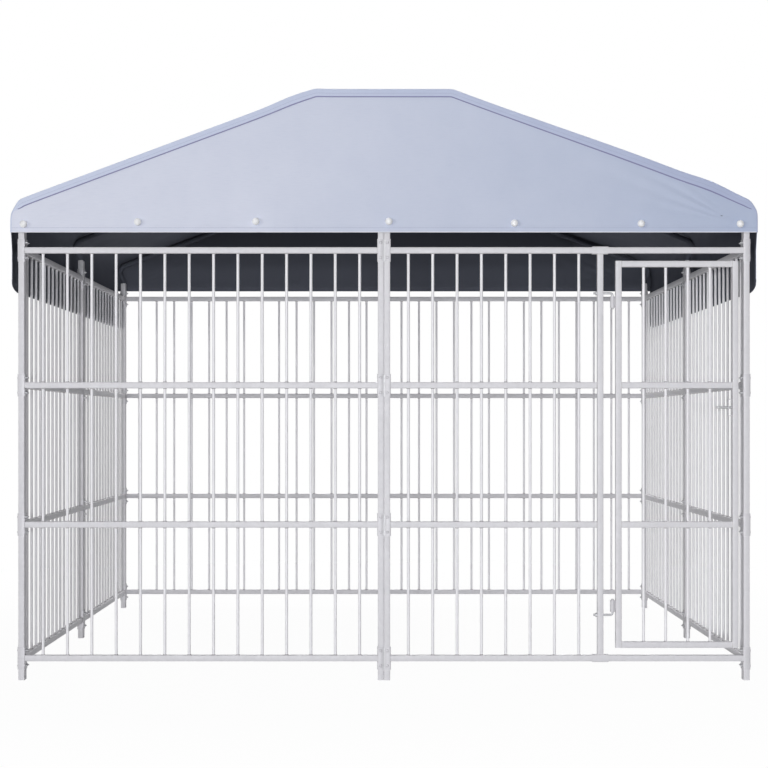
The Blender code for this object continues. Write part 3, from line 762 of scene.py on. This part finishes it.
def hang_gate():
    low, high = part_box("door_leaf")
    x, y = gate_hinge
    left, right = x + 0.012, high[0]
    base, top = low[2], high[2]
    half = tube / 2
    near = add_tube("stile", (left, y - half, base), (left + tube, y + half, top), 2)
    far = add_tube("stile", (right - tube, y - half, base), (right, y + half, top), 2)
    bore(far, pin_bore, (right - 2 * tube, y, latch_z), (right + tube, y, latch_z))
    pieces = [near, far]
    for z in (base + half, rails["lower"], rails["upper"], top - half):
        pieces.append(add_tube("rail", (left + tube, y - half, z - half),
                               (right - tube, y + half, z + half), 0))
        pieces += [shifted(add_rail_weld(end, z), y) for end in (left + tube, right - tube)]
    step = (right - left - 2 * tube) / 5
    levels = bays(base + tube, top - tube, (rails["lower"], rails["upper"]))
    pieces.append(shifted(add_bars("bars", left + tube + step, 4, step, levels), y))
    for start, end in (lower_barrel, upper_barrel):
        barrel = add_pipe("barrel", barrel_radius, barrel_wall, (x, y, start), (x, y, end))
        paint(barrel, tube_zinc, weld_zinc)
        web = add_weld((x + 0.0075, y - 0.0032, start + 0.003),
                       (left + 0.0004, y + 0.0032, end - 0.003), 0.0012)
        pieces += [barrel, web]
    leaf = join(pieces, "gate_welded")
    smooth(leaf)
    put(leaf, "galvanised_tube", "gate", "door_leaf")


# Bent rods, nuts and bolts

def bend_rod(name, start, first, centre, angle, last, threads=0):
    """Draw a rod along X from start, spin it round a centre and draw it on."""
    bpy.ops.mesh.primitive_circle_add(vertices=20, radius=pin_radius, fill_type="NGON",
                                      location=start, rotation=(0, quarter, 0))
    rod = named(name)
    start_edit(rod)
    select_all()
    for _ in range(threads):
        for factor in (0.86, 1 / 0.86):
            pull(0.0008, 0, 0)
            bpy.ops.transform.resize(value=(1, factor, factor))
    reach = first - threads * 0.0016
    pull(reach, 0, 0)
    axis, turn = angle
    bpy.ops.mesh.spin(steps=8, angle=-turn, center=centre, axis=axis)
    pull(*last)
    select_all()
    bpy.ops.mesh.remove_doubles(threshold=0.00002)
    bpy.ops.mesh.normals_make_consistent(inside=False)
    end_edit()
    round_edges(rod, sharp, 0.0009, 2)
    return rod


def add_nut(name, across, start, end):
    """Hexagon between two points, with its outer corners taken off."""
    nut = add_round(name, across / 2 / math.cos(math.pi / 6), start, end, 6)
    round_edges(nut, sharp, 0.0007, 1)
    paint(nut, bolt_zinc)
    return nut


def fit_hinge_pins():
    x, y = gate_hinge
    for label, arm, far, sign in (("lower", lower_arm, lower_barrel[1] + 0.006, 1),
                                  ("upper", upper_arm, upper_barrel[0] - 0.006, -1)):
        node = f"hinge_pin_{label}"
        start_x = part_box(node)[0][0]
        pin = bend_rod(f"{node}_threaded", (start_x, y, arm), x - rod_bend - start_x,
                       (x - rod_bend, y, arm + sign * rod_bend), ((0, 1, 0), -sign * quarter),
                       (0, 0, far - arm - sign * rod_bend), threads=9)
        paint(pin, bolt_zinc)
        smooth(pin)
        put(pin, "zinc_plated_fitting", "root", node)
        low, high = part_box(f"hinge_nut_{label}")
        nut = add_nut(f"hinge_nut_{label}_chamfered", high[2] - low[2], (low[0] + 0.0012, y, arm),
                      (high[0], y, arm))
        washer = add_round("washer", 0.0095, (high[0] - 0.0013, y, arm), (high[0], y, arm), 24)
        paint(washer, bolt_zinc)
        nut = join([nut, washer], nut.name)
        smooth(nut, 30)
        put(nut, "zinc_plated_fitting", "root", f"hinge_nut_{label}")


def fit_latch():
    low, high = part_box("latch_bracket")
    bracket = add_block("latch_bracket_pressed", low, high)
    start_edit(bracket)
    cut_away(bracket, lambda face: face.normal.x > 0.9 or abs(face.normal.y) > 0.9)
    choose(bracket, "edges", lambda edge: runs_along(1)(edge)
           and abs(edge.verts[0].co.x - low[0]) < 0.0001)
    bpy.ops.mesh.bevel(offset=0.0040, segments=4, affect="EDGES")
    end_edit()
    give_wall(bracket, 0.003)
    bolt_low, bolt_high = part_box("latch_bolt")
    y, z = gate_hinge[1], latch_z
    bore(bracket, pin_bore, (low[0] - 0.005, y, z), (low[0] + 0.006, y, z))
    paint(bracket, fitting_zinc)
    pieces = [bracket]
    for lift in (-0.026, 0.026):
        rivet = add_round("rivet", 0.0042, (low[0] + 0.0005, y, z + lift),
                          (low[0] - 0.0016, y, z + lift), 20, far_radius=0.0024)
        paint(rivet, fitting_zinc)
        pieces.append(rivet)
    bracket = join(pieces, "latch_bracket_pressed")
    smooth(bracket)
    put(bracket, "zinc_plated_fitting", "gate", "latch_bracket")

    handle_x = bolt_low[0] + pin_radius
    front = bolt_low[1]
    bolt = bend_rod("latch_bolt_bent", (bolt_high[0], y, z), handle_x + rod_bend - bolt_high[0],
                    (handle_x + rod_bend, y - rod_bend, z), ((0, 0, 1), quarter),
                    (0, front - y + rod_bend, 0))
    paint(bolt, bolt_zinc)
    smooth(bolt)
    put(bolt, "zinc_plated_fitting", "latch", "latch_bolt")


# Clamps

def make_clamp(name, is_corner):
    """Two pressed half shells as one sleeve, with a groove between the posts and rail windows."""
    low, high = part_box("clamp_front_middle_top")
    wide, deep, tall = ((high[axis] - low[axis]) / 2 for axis in range(3))
    half = tube / 2 + 0.002
    sleeve = add_block(name, (-wide, -deep, -tall), (wide, deep, tall))
    round_edges(sleeve, runs_along(2), 0.0036, 3)
    start_edit(sleeve)
    cut_away(sleeve, lambda face: abs(face.normal.z) > 0.9)
    cuts = [((0, 0, -half), (0, 0, 1)), ((0, 0, half), (0, 0, 1))]
    cuts += [((x, 0, 0), (1, 0, 0)) for x in (-0.0042, -0.0015, 0.0015, 0.0042)]
    for place, normal in cuts:
        select_all()
        bpy.ops.mesh.bisect(plane_co=place, plane_no=normal)
    for side in (-1, 1):
        choose(sleeve, "verts", lambda corner: abs(corner.co.x) < 0.002
               and corner.co.y * side > 0)
        bpy.ops.transform.translate(value=(0, -side * 0.0013, 0))

    def in_window(face):
        centre = face.calc_center_median()
        if abs(centre.z) > half:
            return False
        if is_corner:
            return centre.x > wide - 0.002 or (centre.x < 0.001 and centre.y < -deep + 0.002)
        return abs(centre.x) > wide - 0.002

    cut_away(sleeve, in_window)
    end_edit()
    give_wall(sleeve, clamp_wall)
    paint(sleeve, fitting_zinc, bolt_zinc)
    # The faces in the groove get the darker bolt finish: painted shade along the groove
    for face in sleeve.data.polygons:
        if abs(face.center.x) < 0.0030:
            face.material_index = 1
    smooth(sleeve, 30)
    return sleeve


def make_clamp_bolts():
    """Four bolts through a clamp and its posts. Domed heads face -Y, nuts and tips face +Y."""
    low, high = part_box("clamp_front_middle_top")
    face = (high[1] - low[1]) / 2
    x, z = -0.0135, -0.031
    head = add_round("head", 0.0070, (x, -face + 0.0003, z), (x, -face - 0.0028, z), 16,
                     far_radius=0.0042)
    round_edges(head, lambda edge: edge.calc_face_angle(0) > 0.5, 0.0011, 2)
    paint(head, fitting_zinc)
    nut = add_nut("nut", 0.010, (x, face + 0.0008, z), (x, face + 0.0052, z))
    washer = add_round("washer", 0.0064, (x, face - 0.0002, z), (x, face + 0.0008, z), 12)
    tip = add_round("tip", 0.003, (x, face + 0.0052, z), (x, face + 0.0095, z), 10,
                    far_radius=0.0025)
    for piece in (washer, tip):
        paint(piece, bolt_zinc)
    bolts = join([head, nut, washer, tip], "pattern_bolts")
    repeat(bolts, 2, (0.027, 0, 0))
    repeat(bolts, 2, (0, 0, 0.062))
    smooth(bolts, 30)
    return bolts


def fit_clamps():
    between = make_clamp("pattern_middle_clamp", False)
    corner = make_clamp("pattern_corner_clamp", True)
    bolts = make_clamp_bolts()
    # Turn of the shell, and turn about Z that brings the bolt heads outside
    places = {
        "front_middle": (between, (0, 0, 0), 0),
        "back_middle": (between, (0, 0, 0), math.pi),
        "left_middle": (between, (0, 0, quarter), -quarter),
        "right_middle": (between, (0, 0, quarter), quarter),
        "front_left": (corner, (0, 0, quarter), -quarter),
        "front_right": (corner, (math.pi, 0, quarter), quarter),
        "back_right": (corner, (0, 0, -quarter), quarter),
        "back_left": (corner, (math.pi, 0, -quarter), -quarter),
    }
    for place, (pattern, shell_turn, bolt_turn) in places.items():
        for level in rails:
            node = f"clamp_{place}_{level}"
            shell = copied(pattern, f"{node}_shell", middle(node), shell_turn)
            put(shell, "zinc_plated_fitting", "root", node)
            fixing = copied(bolts, f"{node}_bolts", middle(node), (0, 0, bolt_turn))
            put(fixing, "zinc_plated_fitting", "root")
    for pattern in (between, corner, bolts):
        drop(pattern)


# Roof frame

def round_copy(node, name):
    """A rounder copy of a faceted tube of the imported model."""
    piece = from_mesh(name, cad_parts[node].data.copy())
    start_edit(piece)
    select_all()
    bpy.ops.mesh.remove_doubles(threshold=0.00005)
    bpy.ops.mesh.customdata_custom_splitnormals_clear()
    bpy.ops.mesh.tris_convert_to_quads(face_threshold=math.radians(5), shape_threshold=math.pi)
    choose(piece, "edges", lambda edge: edge.calc_face_angle(0) > math.radians(52))
    bpy.ops.transform.edge_crease(value=1)
    end_edit()
    modifier = piece.modifiers.new("rounder", "SUBSURF")
    modifier.levels = 2
    modifier.render_levels = 2
    apply(piece, modifier)
    paint(piece, tube_zinc)
    smooth(piece)
    return piece


def add_grub(x, y, z):
    """Grub screw in the underside of a fitting."""
    return add_nut("grub", 0.010, (x, y, z + 0.001), (x, y, z - 0.006))


def set_roof_frame():
    for node in ("roof_arch_front", "roof_arch_middle", "roof_arch_rear",
                 "ridge_tube_front", "ridge_tube_rear"):
        piece = round_copy(node, f"{node}_round")
        put(piece, "galvanised_tube", "root", node)
    branches = {"front": (1,), "middle": (-1, 1), "rear": (-1,)}
    for place, sides in branches.items():
        node = f"ridge_connector_{place}"
        low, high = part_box(node)
        y, z = middle(f"roof_arch_{place}")[1], middle(node)[2]
        outer = (high[2] - low[2]) / 2
        pieces = [add_pipe("sleeve", outer, 0.0026, (low[0], y, z), (high[0], y, z))]
        paint(pieces[0], fitting_zinc)
        for side in sides:
            mouth = y + side * 0.060
            socket = add_pipe("socket", outer - 0.0004, 0.0022,
                              (0, y + side * (outer - 0.003), z), (0, mouth, z))
            paint(socket, fitting_zinc)
            pieces += [socket, add_grub(0, y + side * 0.046, z - outer)]
        pieces += [add_grub(x, y, z - outer) for x in (low[0] + 0.012, high[0] - 0.012)]
        connector = join(pieces, f"{node}_pressed")
        smooth(connector, 30)
        put(connector, "zinc_plated_fitting", "root", node)


# Canopy

def arc(centre, radius, start, end, steps):
    return [(centre[0] + radius * math.cos(start + (end - start) * step / steps),
             centre[1] + radius * math.sin(start + (end - start) * step / steps))
            for step in range(steps + 1)]


def line(start, end, steps):
    """Points from start up to, but without, the end."""
    return [(start[0] + (end[0] - start[0]) * step / steps,
             start[1] + (end[1] - start[1]) * step / steps) for step in range(steps)]


def section():
    """Right half of the canopy's section, from the hem of the skirt up to the middle."""
    eave = arc((eave_x, eave_z), eave_radius, 0, bend, 9)
    crown = arc((crown_x, crown_z), crown_radius, bend, quarter, 6)
    heights = [skirt_hem, skirt_hem + 0.001, skirt_hem + 0.010, skirt_hem + hem_width - 0.001,
               skirt_hem + hem_width]
    heights += [1.64, 1.68, 1.72, 1.76, rear_hem, front_hem, 1.86, 1.885]
    skirt = [(half_width, z) for z in heights]
    slope = line(eave[-1], crown[0], 26)[1:]
    flat = line(crown[-1], (0, roof_height), 5)[1:]
    return skirt + eave + slope + crown + flat + [(0, roof_height)]


def whole_section():
    """From the left hem over the roof to the right hem."""
    right = section()
    return [(-x, z) for x, z in right[:-1]] + list(reversed(right))


def inward(points, index):
    """Unit normal of the section at a point, towards the inside."""
    before = points[max(0, index - 1)]
    after = points[min(len(points) - 1, index + 1)]
    run = Vector((after[0] - before[0], after[1] - before[1])).normalized()
    return run.y, -run.x


def running_length(points):
    total = [0.0]
    for one, other in zip(points, points[1:]):
        total.append(total[-1] + math.dist(one, other))
    return total


def add_map(mesh, label, place):
    """A map in metres, which takes each corner's place from the number of its vertex."""
    layer = mesh.uv_layers.new(name=label)
    layer.data.foreach_set("uv", [number for loop in mesh.loops
                                  for number in place(loop.vertex_index)])


def blank_sheet(name, grid, flat_map, edge_map):
    """A sheet from a grid of points, with a flat map in metres and a map along its edges."""
    verts, numbers = [], {}
    for key, point in grid.items():
        numbers[key] = len(verts)
        verts.append(point)
    faces = []
    for row, column in grid:
        corners = ((row, column), (row, column + 1), (row + 1, column + 1), (row + 1, column))
        if all(corner in numbers for corner in corners):
            faces.append([numbers[corner] for corner in corners])
    mesh = bpy.data.meshes.new(name)
    mesh.from_pydata(verts, [], faces)
    keys = list(grid)
    add_map(mesh, "flat_cloth", lambda number: flat_map[keys[number]])
    add_map(mesh, "edge_run", lambda number: edge_map[keys[number]])
    piece = from_mesh(name, mesh)
    paint(piece, outer_cloth, inner_cloth)
    return piece


def face_along(piece, face, direction):
    """Turn a sheet over if this face of it looks the other way."""
    if face.normal.dot(Vector(direction)) <= 0:
        start_edit(piece)
        select_all()
        bpy.ops.mesh.flip_normals()
        end_edit()


def settle_cloth(piece, thickness, node):
    give_wall(piece, thickness, inside=1, rim=0)
    smooth(piece, 50)
    put(piece, "canopy_cloth", "root", node)


def bow(x, z):
    """How far slack cloth stands up off the straight line of the roof."""
    fade = min(1.0, max(0.0, (z - eave_height + 0.08) / 0.06))
    if x < 0:
        return 0.0075 * math.exp(-((x + 0.375) / 0.085) ** 2)
    rise = math.sin(math.pi * min(1.0, max(0.0, x - 0.35) / 1.12) ** 1.6)
    near_eave = math.exp(-((x - 1.345) / 0.085) ** 2)
    return fade * (slope_bow * max(0.0, rise) + 0.0100 * near_eave)


def draw_in(x, z, y=half_length):
    """How far an eave is drawn in: at the left most of all past the arches, at the very ends."""
    if abs(x) < 1.2:
        return 0.0
    past_arch = min(1.0, max(0.0, (abs(y) - 1.529) / 0.012))
    most, height = (0.0062 + 0.0058 * past_arch, 1.945) if x < 0 else (-0.0062, 1.950)
    return most * math.exp(-((z - height) / 0.029) ** 2) * ((abs(x) - 1.2) / 0.33) ** 3


def roof_dip(x, y):
    """How far the roof hangs below its straight line between the arches, and how far it ripples."""
    along = abs(math.sin(math.pi * y / 1.513))
    ripple = noise.noise(Vector((x * 2.1, y * 1.3, 4.0)))
    fine = noise.noise(Vector((x * 9.0, y * 5.0, 9.0)))
    return 0.011 * along ** 1.5, along * (0.0028 * ripple + 0.0007 * fine)


def skirt_wave(x, y, z):
    """How far the skirt hangs out of its plane."""
    if z >= 1.9:
        return 0.0
    hang = (1.9 - z) / 0.3
    wave = hang * 0.004 * noise.noise(Vector((y * 2.6, 3.0 * math.copysign(1, x), 1)))
    wave *= min(1.0, (roof_end - abs(y)) / 0.15)
    wave -= 0.006 * min(1.0, hang * 2.5) ** 2
    return wave


def corner_lift(y, z):
    """The skirt's lower corners are rounded off."""
    inside = max(0.0, abs(y) - (roof_end - corner_length))
    lift = corner_rise * (1 - math.sqrt(max(0.0, 1 - (inside / corner_length) ** 2)))
    return lift * max(0.0, 1 - (z - skirt_hem) / 0.10)


def turned_width(x, z, normal):
    """Near the eave the seam of the turned edge runs straight on, until it meets the side."""
    into_slope = (eave_height + (half_width - abs(x)) * math.tan(pitch) - z) * math.cos(pitch)
    facing = abs(normal[0]) * math.sin(pitch) - normal[1] * math.cos(pitch)
    return min(seam_width, max(0.0065, (seam_width - into_slope) / max(0.2, facing)))


def roof_columns():
    """Places of the sheet's columns along the ridge, closer together towards its ends."""
    halves = [0.0]
    while halves[-1] < roof_end - corner_length - 0.03:
        halves.append(halves[-1] + 0.030)
    halves += [roof_end - share * corner_length
               for share in (1, 0.8, 0.6, 0.42, 0.28, 0.17, 0.09, 0.04, 0.015, 0)]
    return [-y for y in reversed(halves[1:])] + halves


def make_roof_sheet():
    points = whole_section()
    lengths = running_length(points)
    last = len(points) - 1
    columns = roof_columns()
    count = len(columns)
    # Columns past the ends go round the edge and down over the gable
    over = [("turn", angle) for angle in (30, 60, 90)]
    over += [("strip", share) for share in (0.25, 0.6, 0.94, 1)]
    grid, flat_map, edge_map = {}, {}, {}
    for row, (x, z) in enumerate(points):
        rank = min(row, last - row)
        nx, nz = inward(points, row)
        share = min(1.0, max(0.0, (rank - first_slope_row) / 8))
        width = turned_width(x, z, (nx, nz)) if rank <= first_slope_row + 1 else seam_width
        thick = 0.0007 if z < skirt_hem + hem_width - 0.0005 else 0.0
        side = math.copysign(1, x)
        near_hem = min(lengths[row], lengths[-1] - lengths[row])
        for column, y in enumerate(columns):
            drop_in = 0.0
            if share:
                dip, ripple = roof_dip(x, y)
                drop_in = dip * share + ripple
            out = side * (thick + skirt_wave(x, y, z) - 0.0007)
            grid[row, column] = (x + nx * drop_in + out + draw_in(x, z, y), y,
                                 z + corner_lift(y, z) + nz * drop_in + bow(x, z))
            flat_map[row, column] = (y, lengths[row])
            edge_map[row, column] = ((y, near_hem) if near_hem < far_from_edge
                                     else (lengths[row], far_from_edge))
        for sign, hem in ((-1, front_hem), (1, rear_hem)):
            if z < hem - 0.0001:
                continue
            for step, (kind, amount) in enumerate(over):
                slack = bow(x, z)
                if kind == "turn":
                    angle = math.radians(amount)
                    into = fold_radius * (1 - math.cos(angle))
                    y = roof_end + fold_radius * math.sin(angle)
                    edge = far_from_edge
                else:
                    into = fold_radius + (width - fold_radius) * amount
                    y = half_length
                    slack *= 1 - 0.45 * amount
                    edge = width * (1 - amount) if z > seam_foot else far_from_edge
                key = (row, -1 - step) if sign < 0 else (row, count + step)
                grid[key] = (x + nx * into + draw_in(x, z), sign * y, z + nz * into + slack)
                flat_map[key] = (sign * (roof_end + 0.003 * (step + 1) + into), lengths[row])
                edge_map[key] = (lengths[row], edge)
    piece = blank_sheet("canopy_roof_sheet", grid, flat_map, edge_map)
    # The turned edge over the gables gets the darker cloth: painted shade
    paint(piece, outer_cloth, inner_cloth, turned_edge_shaded_cloth, inner_cloth)
    for face in piece.data.polygons:
        if abs(face.center.y) > roof_end + 0.002:
            face.material_index = 2
    face_along(piece, max(piece.data.polygons, key=lambda face: face.center.z), (0, 0, 1))
    settle_cloth(piece, cloth_thickness,
                 "canopy_roof")


def roof_line(x, inset):
    """Height of the roof at x, moved inwards by the inset."""
    return straight_roof_line(x, inset) + bow(x, roof_height)


def straight_roof_line(x, inset):
    radius = eave_radius - inset
    x = min(abs(x), eave_x + radius * 0.9995)
    arc_end = eave_x + radius * math.cos(bend)
    if x >= arc_end:
        return eave_z + math.sqrt(radius ** 2 - (x - eave_x) ** 2)
    slope_z = eave_z + radius * math.sin(bend) + (arc_end - x) * math.tan(pitch)
    small = crown_radius - inset
    if x <= crown_x:
        return crown_z + small
    if x < crown_x + small * math.cos(bend):
        return crown_z + math.sqrt(small ** 2 - (x - crown_x) ** 2)
    return slope_z


def pucker(x, z, balls, hem):
    """How far the fasteners and the tension between them draw the gable cloth in or out."""
    depth = 0.0
    for index, (ball_x, ball_rise) in enumerate(balls):
        dx, dz = x - ball_x, z - hem - ball_rise
        away = math.hypot(dx, dz)
        if away > 0.45:
            continue
        around = math.atan2(dz, dx)
        depth += 0.0042 * math.exp(-(away / 0.020) ** 2)
        folds = math.cos(5 * around + index * 1.7) * (away / 0.05) * math.exp(-away / 0.055)
        depth += 0.0011 * folds
    # Long soft folds that rise from the two corner fasteners
    for side, most, (ball_x, ball_rise) in ((-1, 0.0011, balls[0]), (1, 0.0034, balls[-1])):
        dx, dz = (x - ball_x) * -side, z - hem - ball_rise
        if dx > 0 and dz > 0:
            slant = math.atan2(dz, dx)
            depth += most * math.sin(slant * 40) * math.exp(-((slant - 0.42) / 0.25) ** 2) \
                * math.exp(-dx / 0.35) * min(1.0, dx / 0.06)
    return depth


def make_gable_sheet(name, node, hem, sign, balls):
    """End wall: its top is caught under the turned edge of the roof, its foot has a folded hem."""
    edge = half_width - 0.0035
    columns = [0.0]
    while columns[-1] < edge - 0.020:
        columns.append(columns[-1] + 0.0125)
    columns += [edge - 0.010, edge - 0.004, edge]
    columns = [-x for x in reversed(columns[1:])] + columns
    foot = [0.0, 0.0008, 0.008, 0.016, hem_width - 0.0012, hem_width]
    rise = [0.033, 0.040, 0.047, 0.056]
    grid, flat_map, edge_map = {}, {}, {}
    for column, x in enumerate(columns):
        top = roof_line(x, 0.0055) - hem
        rows = foot + rise + [0.056 + (top - 0.056) * share for share in
                              [(step / 34) ** 1.05 for step in range(1, 35)]]
        for row, up in enumerate(rows):
            z = hem + up
            fade = min(1.0, max(0.0, (roof_line(x, 0.0055) - z) / 0.06))
            fade *= min(1.0, (edge - abs(x)) / 0.02)
            depth = pucker(x, z, balls, hem) * fade
            slack = noise.noise(Vector((x * 2.0, z * 3.0, 7.0 + sign)))
            depth += 0.0035 * abs(slack) * fade * min(1.0, up / 0.08)
            if up < hem_width - 0.0005:
                depth -= 0.0004
            grid[row, column] = (x + draw_in(x, z), sign * (gable_face - depth), z)
            flat_map[row, column] = (x, z)
            edge_map[row, column] = (x, up) if up < 0.08 else (x, 0.08)
    piece = blank_sheet(name, grid, flat_map, edge_map)
    faces = piece.data.polygons
    face_along(piece, faces[len(faces) // 2], (0, sign, 0))
    settle_cloth(piece, cloth_thickness * 0.9,
                 node)


def make_sleeves():
    """Sleeves of dark cloth on the arches, from the post tops up to the ridge fittings."""
    reach = 0.105
    foot = post_height + 0.0035
    for place in ("front", "middle", "rear"):
        sleeve = round_copy(f"roof_arch_{place}", f"canopy_sleeve_{place}")
        start_edit(sleeve)
        for cut, normal in (((0, 0, foot), (0, 0, 1)),
                            ((-reach, 0, 0), (1, 0, 0)), ((reach, 0, 0), (1, 0, 0))):
            select_all()
            bpy.ops.mesh.bisect(plane_co=cut, plane_no=normal)
        cut_away(sleeve, lambda face: face.calc_center_median().z < foot
                 or abs(face.calc_center_median().x) < reach)
        select_all()
        bpy.ops.transform.shrink_fatten(value=0.0016)
        end_edit()
        mesh = sleeve.data
        for layer in list(mesh.uv_layers):
            mesh.uv_layers.remove(layer)
        places = [corner.co for corner in mesh.vertices]
        add_map(mesh, "flat_cloth", lambda number: (abs(places[number].x) + places[number].z,
                                                    2 * places[number].y))
        add_map(mesh, "edge_run", lambda number: (places[number].x, far_from_edge))
        paint(sleeve, inner_cloth)
        give_wall(sleeve, 0.0008)
        smooth(sleeve, 50)
        put(sleeve, "canopy_cloth", "root")


def make_fastener():
    """White ball on a metal eyelet. It faces -Y, and the cloth lies at the origin."""
    bpy.ops.mesh.primitive_torus_add(major_radius=0.0105, minor_radius=0.0019, major_segments=28,
                                     minor_segments=8, location=(0, -0.0026, 0),
                                     rotation=(quarter, 0, 0))
    ring = named("eyelet")
    paint(ring, ball_plastic, fitting_zinc)
    ring.data.polygons.foreach_set("material_index", [1] * len(ring.data.polygons))
    bpy.ops.mesh.primitive_uv_sphere_add(segments=28, ring_count=18, radius=0.0153,
                                         location=(0, -0.0149, 0), rotation=(quarter, 0, 0))
    ball = named("ball")
    start_edit(ball)
    choose(ball, "faces", lambda face: face.calc_center_median().y < -0.0149 - 0.0148)
    bpy.ops.mesh.inset(thickness=0.0006)
    pull(0, 0.004, 0)
    end_edit()
    paint(ball, ball_plastic, fitting_zinc)
    fastener = join([ring, ball], "pattern_fastener")
    smooth(fastener, 35)
    return fastener


def fit_fasteners():
    pattern = make_fastener()
    face = gable_face - 0.0042
    for label, sign, hem in (("front", -1, front_hem), ("rear", 1, rear_hem)):
        for index, (x, rise) in enumerate(fasteners):
            turn = (0, 0, 0) if sign < 0 else (0, 0, math.pi)
            piece = copied(pattern, f"canopy_fastener_{label}_{index + 1}",
                           (x, sign * face, hem + rise), turn)
            put(piece, "zinc_plated_fitting", "root")
    drop(pattern)


def hang_canopy():
    make_roof_sheet()
    make_gable_sheet("canopy_gable_front_sheet", "canopy_gable_front", front_hem, -1, fasteners)
    make_gable_sheet("canopy_gable_rear_sheet", "canopy_gable_rear", rear_hem, 1, fasteners)
    make_sleeves()
    fit_fasteners()


# Floor, light and backdrop

def shows_white(tree):
    """Mask of the rays that should find a white background: camera, mirror and glass rays."""
    path = tree.nodes.new("ShaderNodeLightPath")
    seen = math_node(tree, "ADD", path.outputs["Is Camera Ray"], path.outputs["Is Glossy Ray"])
    return math_node(tree, "ADD", seen, path.outputs["Is Transmission Ray"], clamp=True)


def mix_shaders(tree, mask, first, second, output):
    mix = tree.nodes.new("ShaderNodeMixShader")
    for source, label in ((mask, "Fac"), (first, 1), (second, 2)):
        wire(tree, source, mix, label)
    wire(tree, mix.outputs["Shader"], tree.nodes[output], "Surface")


def set_floor():
    bpy.ops.mesh.primitive_plane_add(size=400, location=(0, 0, 0))
    floor = named("studio_floor")
    material = bpy.data.materials.new("studio_floor")
    material.use_nodes = True
    tree = material.node_tree
    shader = tree.nodes["Principled BSDF"]
    path = tree.nodes.new("ShaderNodeLightPath")
    wire(tree, mix_node(tree, path.outputs["Is Camera Ray"], (0.45, 0.45, 0.45), (0.9, 0.9, 0.9)),
         shader, "Base Color")
    shader.inputs["Roughness"].default_value = 0.9
    shader.inputs["Specular IOR Level"].default_value = 0.0
    # A white studio floor sends some light up under the canopy
    shader.inputs["Emission Color"].default_value = (1, 1, 1, 1)
    wire(tree, ramp_node(tree, path.outputs["Is Camera Ray"], 0.0, 1.0, 0.17, 0.0),
         shader, "Emission Strength")
    glow = tree.nodes.new("ShaderNodeEmission")
    # Far from the kennel the floor runs out into the white of the backdrop
    place = tree.nodes.new("ShaderNodeTexCoord")
    length = tree.nodes.new("ShaderNodeVectorMath")
    length.operation = "LENGTH"
    wire(tree, place.outputs["Object"], length, 0)
    share = ramp_node(tree, length.outputs["Value"], 2.2, 5.0, 0.97, 1.0)
    mix_shaders(tree, math_node(tree, "MULTIPLY", shows_white(tree), share),
                shader.outputs["BSDF"], glow.outputs["Emission"], "Material Output")
    paint(floor, material)


def set_world():
    world = bpy.data.worlds.new("studio")
    bpy.context.scene.world = world
    world.use_nodes = True
    tree = world.node_tree
    soft = tree.nodes["Background"]
    soft.inputs["Color"].default_value = (0.93, 0.95, 1.0, 1)
    soft.inputs["Strength"].default_value = 0.07
    white = tree.nodes.new("ShaderNodeBackground")
    white.inputs["Color"].default_value = (1, 1, 1, 1)
    white.inputs["Strength"].default_value = 1.0
    mix_shaders(tree, shows_white(tree), soft.outputs["Background"],
                white.outputs["Background"], "World Output")


def add_lamp(name, place, target, size, energy, colour=(1, 1, 1)):
    lamp = bpy.data.lights.new(name, "AREA")
    lamp.shape = "RECTANGLE"
    lamp.size, lamp.size_y = size
    lamp.energy = energy
    lamp.color = colour
    holder = bpy.data.objects.new(name, lamp)
    holder.location = place
    aim = Vector(target) - Vector(place)
    holder.rotation_euler = aim.to_track_quat("-Z", "Y").to_euler()
    bpy.context.scene.collection.objects.link(holder)


def set_studio():
    set_floor()
    set_world()
    # A level light from the left and a low one from the front reach under the canopy
    key = bpy.data.lights.new("key_light", "SUN")
    key.energy = 1.15
    key.angle = math.radians(14)
    key.color = (1, 0.99, 0.975)
    holder = bpy.data.objects.new("key_light", key)
    holder.rotation_euler = Vector((0.643, 0.766, -0.01)).to_track_quat("-Z", "Y").to_euler()
    bpy.context.scene.collection.objects.link(holder)
    add_lamp("front_softbox", (-0.6, -17.0, 1.0), (0, 0, 1.0), (1.8, 0.8), 1060, (0.97, 0.985, 1))
    add_lamp("overhead_softbox", (0, 0, 7.5), (0, 0, 0), (8, 8), 220)
    # Two more bring the back and the right side to the same plain level
    add_lamp("rear_softbox", (0, 9.0, 4.6), (0, 0, 1.2), (5, 3), 400)
    add_lamp("right_softbox", (7.0, 2.5, 8.0), (1, 0, 1.6), (3, 3), 250)
    bpy.context.scene.view_settings.view_transform = "Standard"


bpy.ops.object.select_all(action="DESELECT")
set_camera()
hang_panels()
set_door_panel()
set_jamb()
hang_gate()
fit_hinge_pins()
fit_latch()
fit_clamps()
set_roof_frame()
hang_canopy()
set_studio()
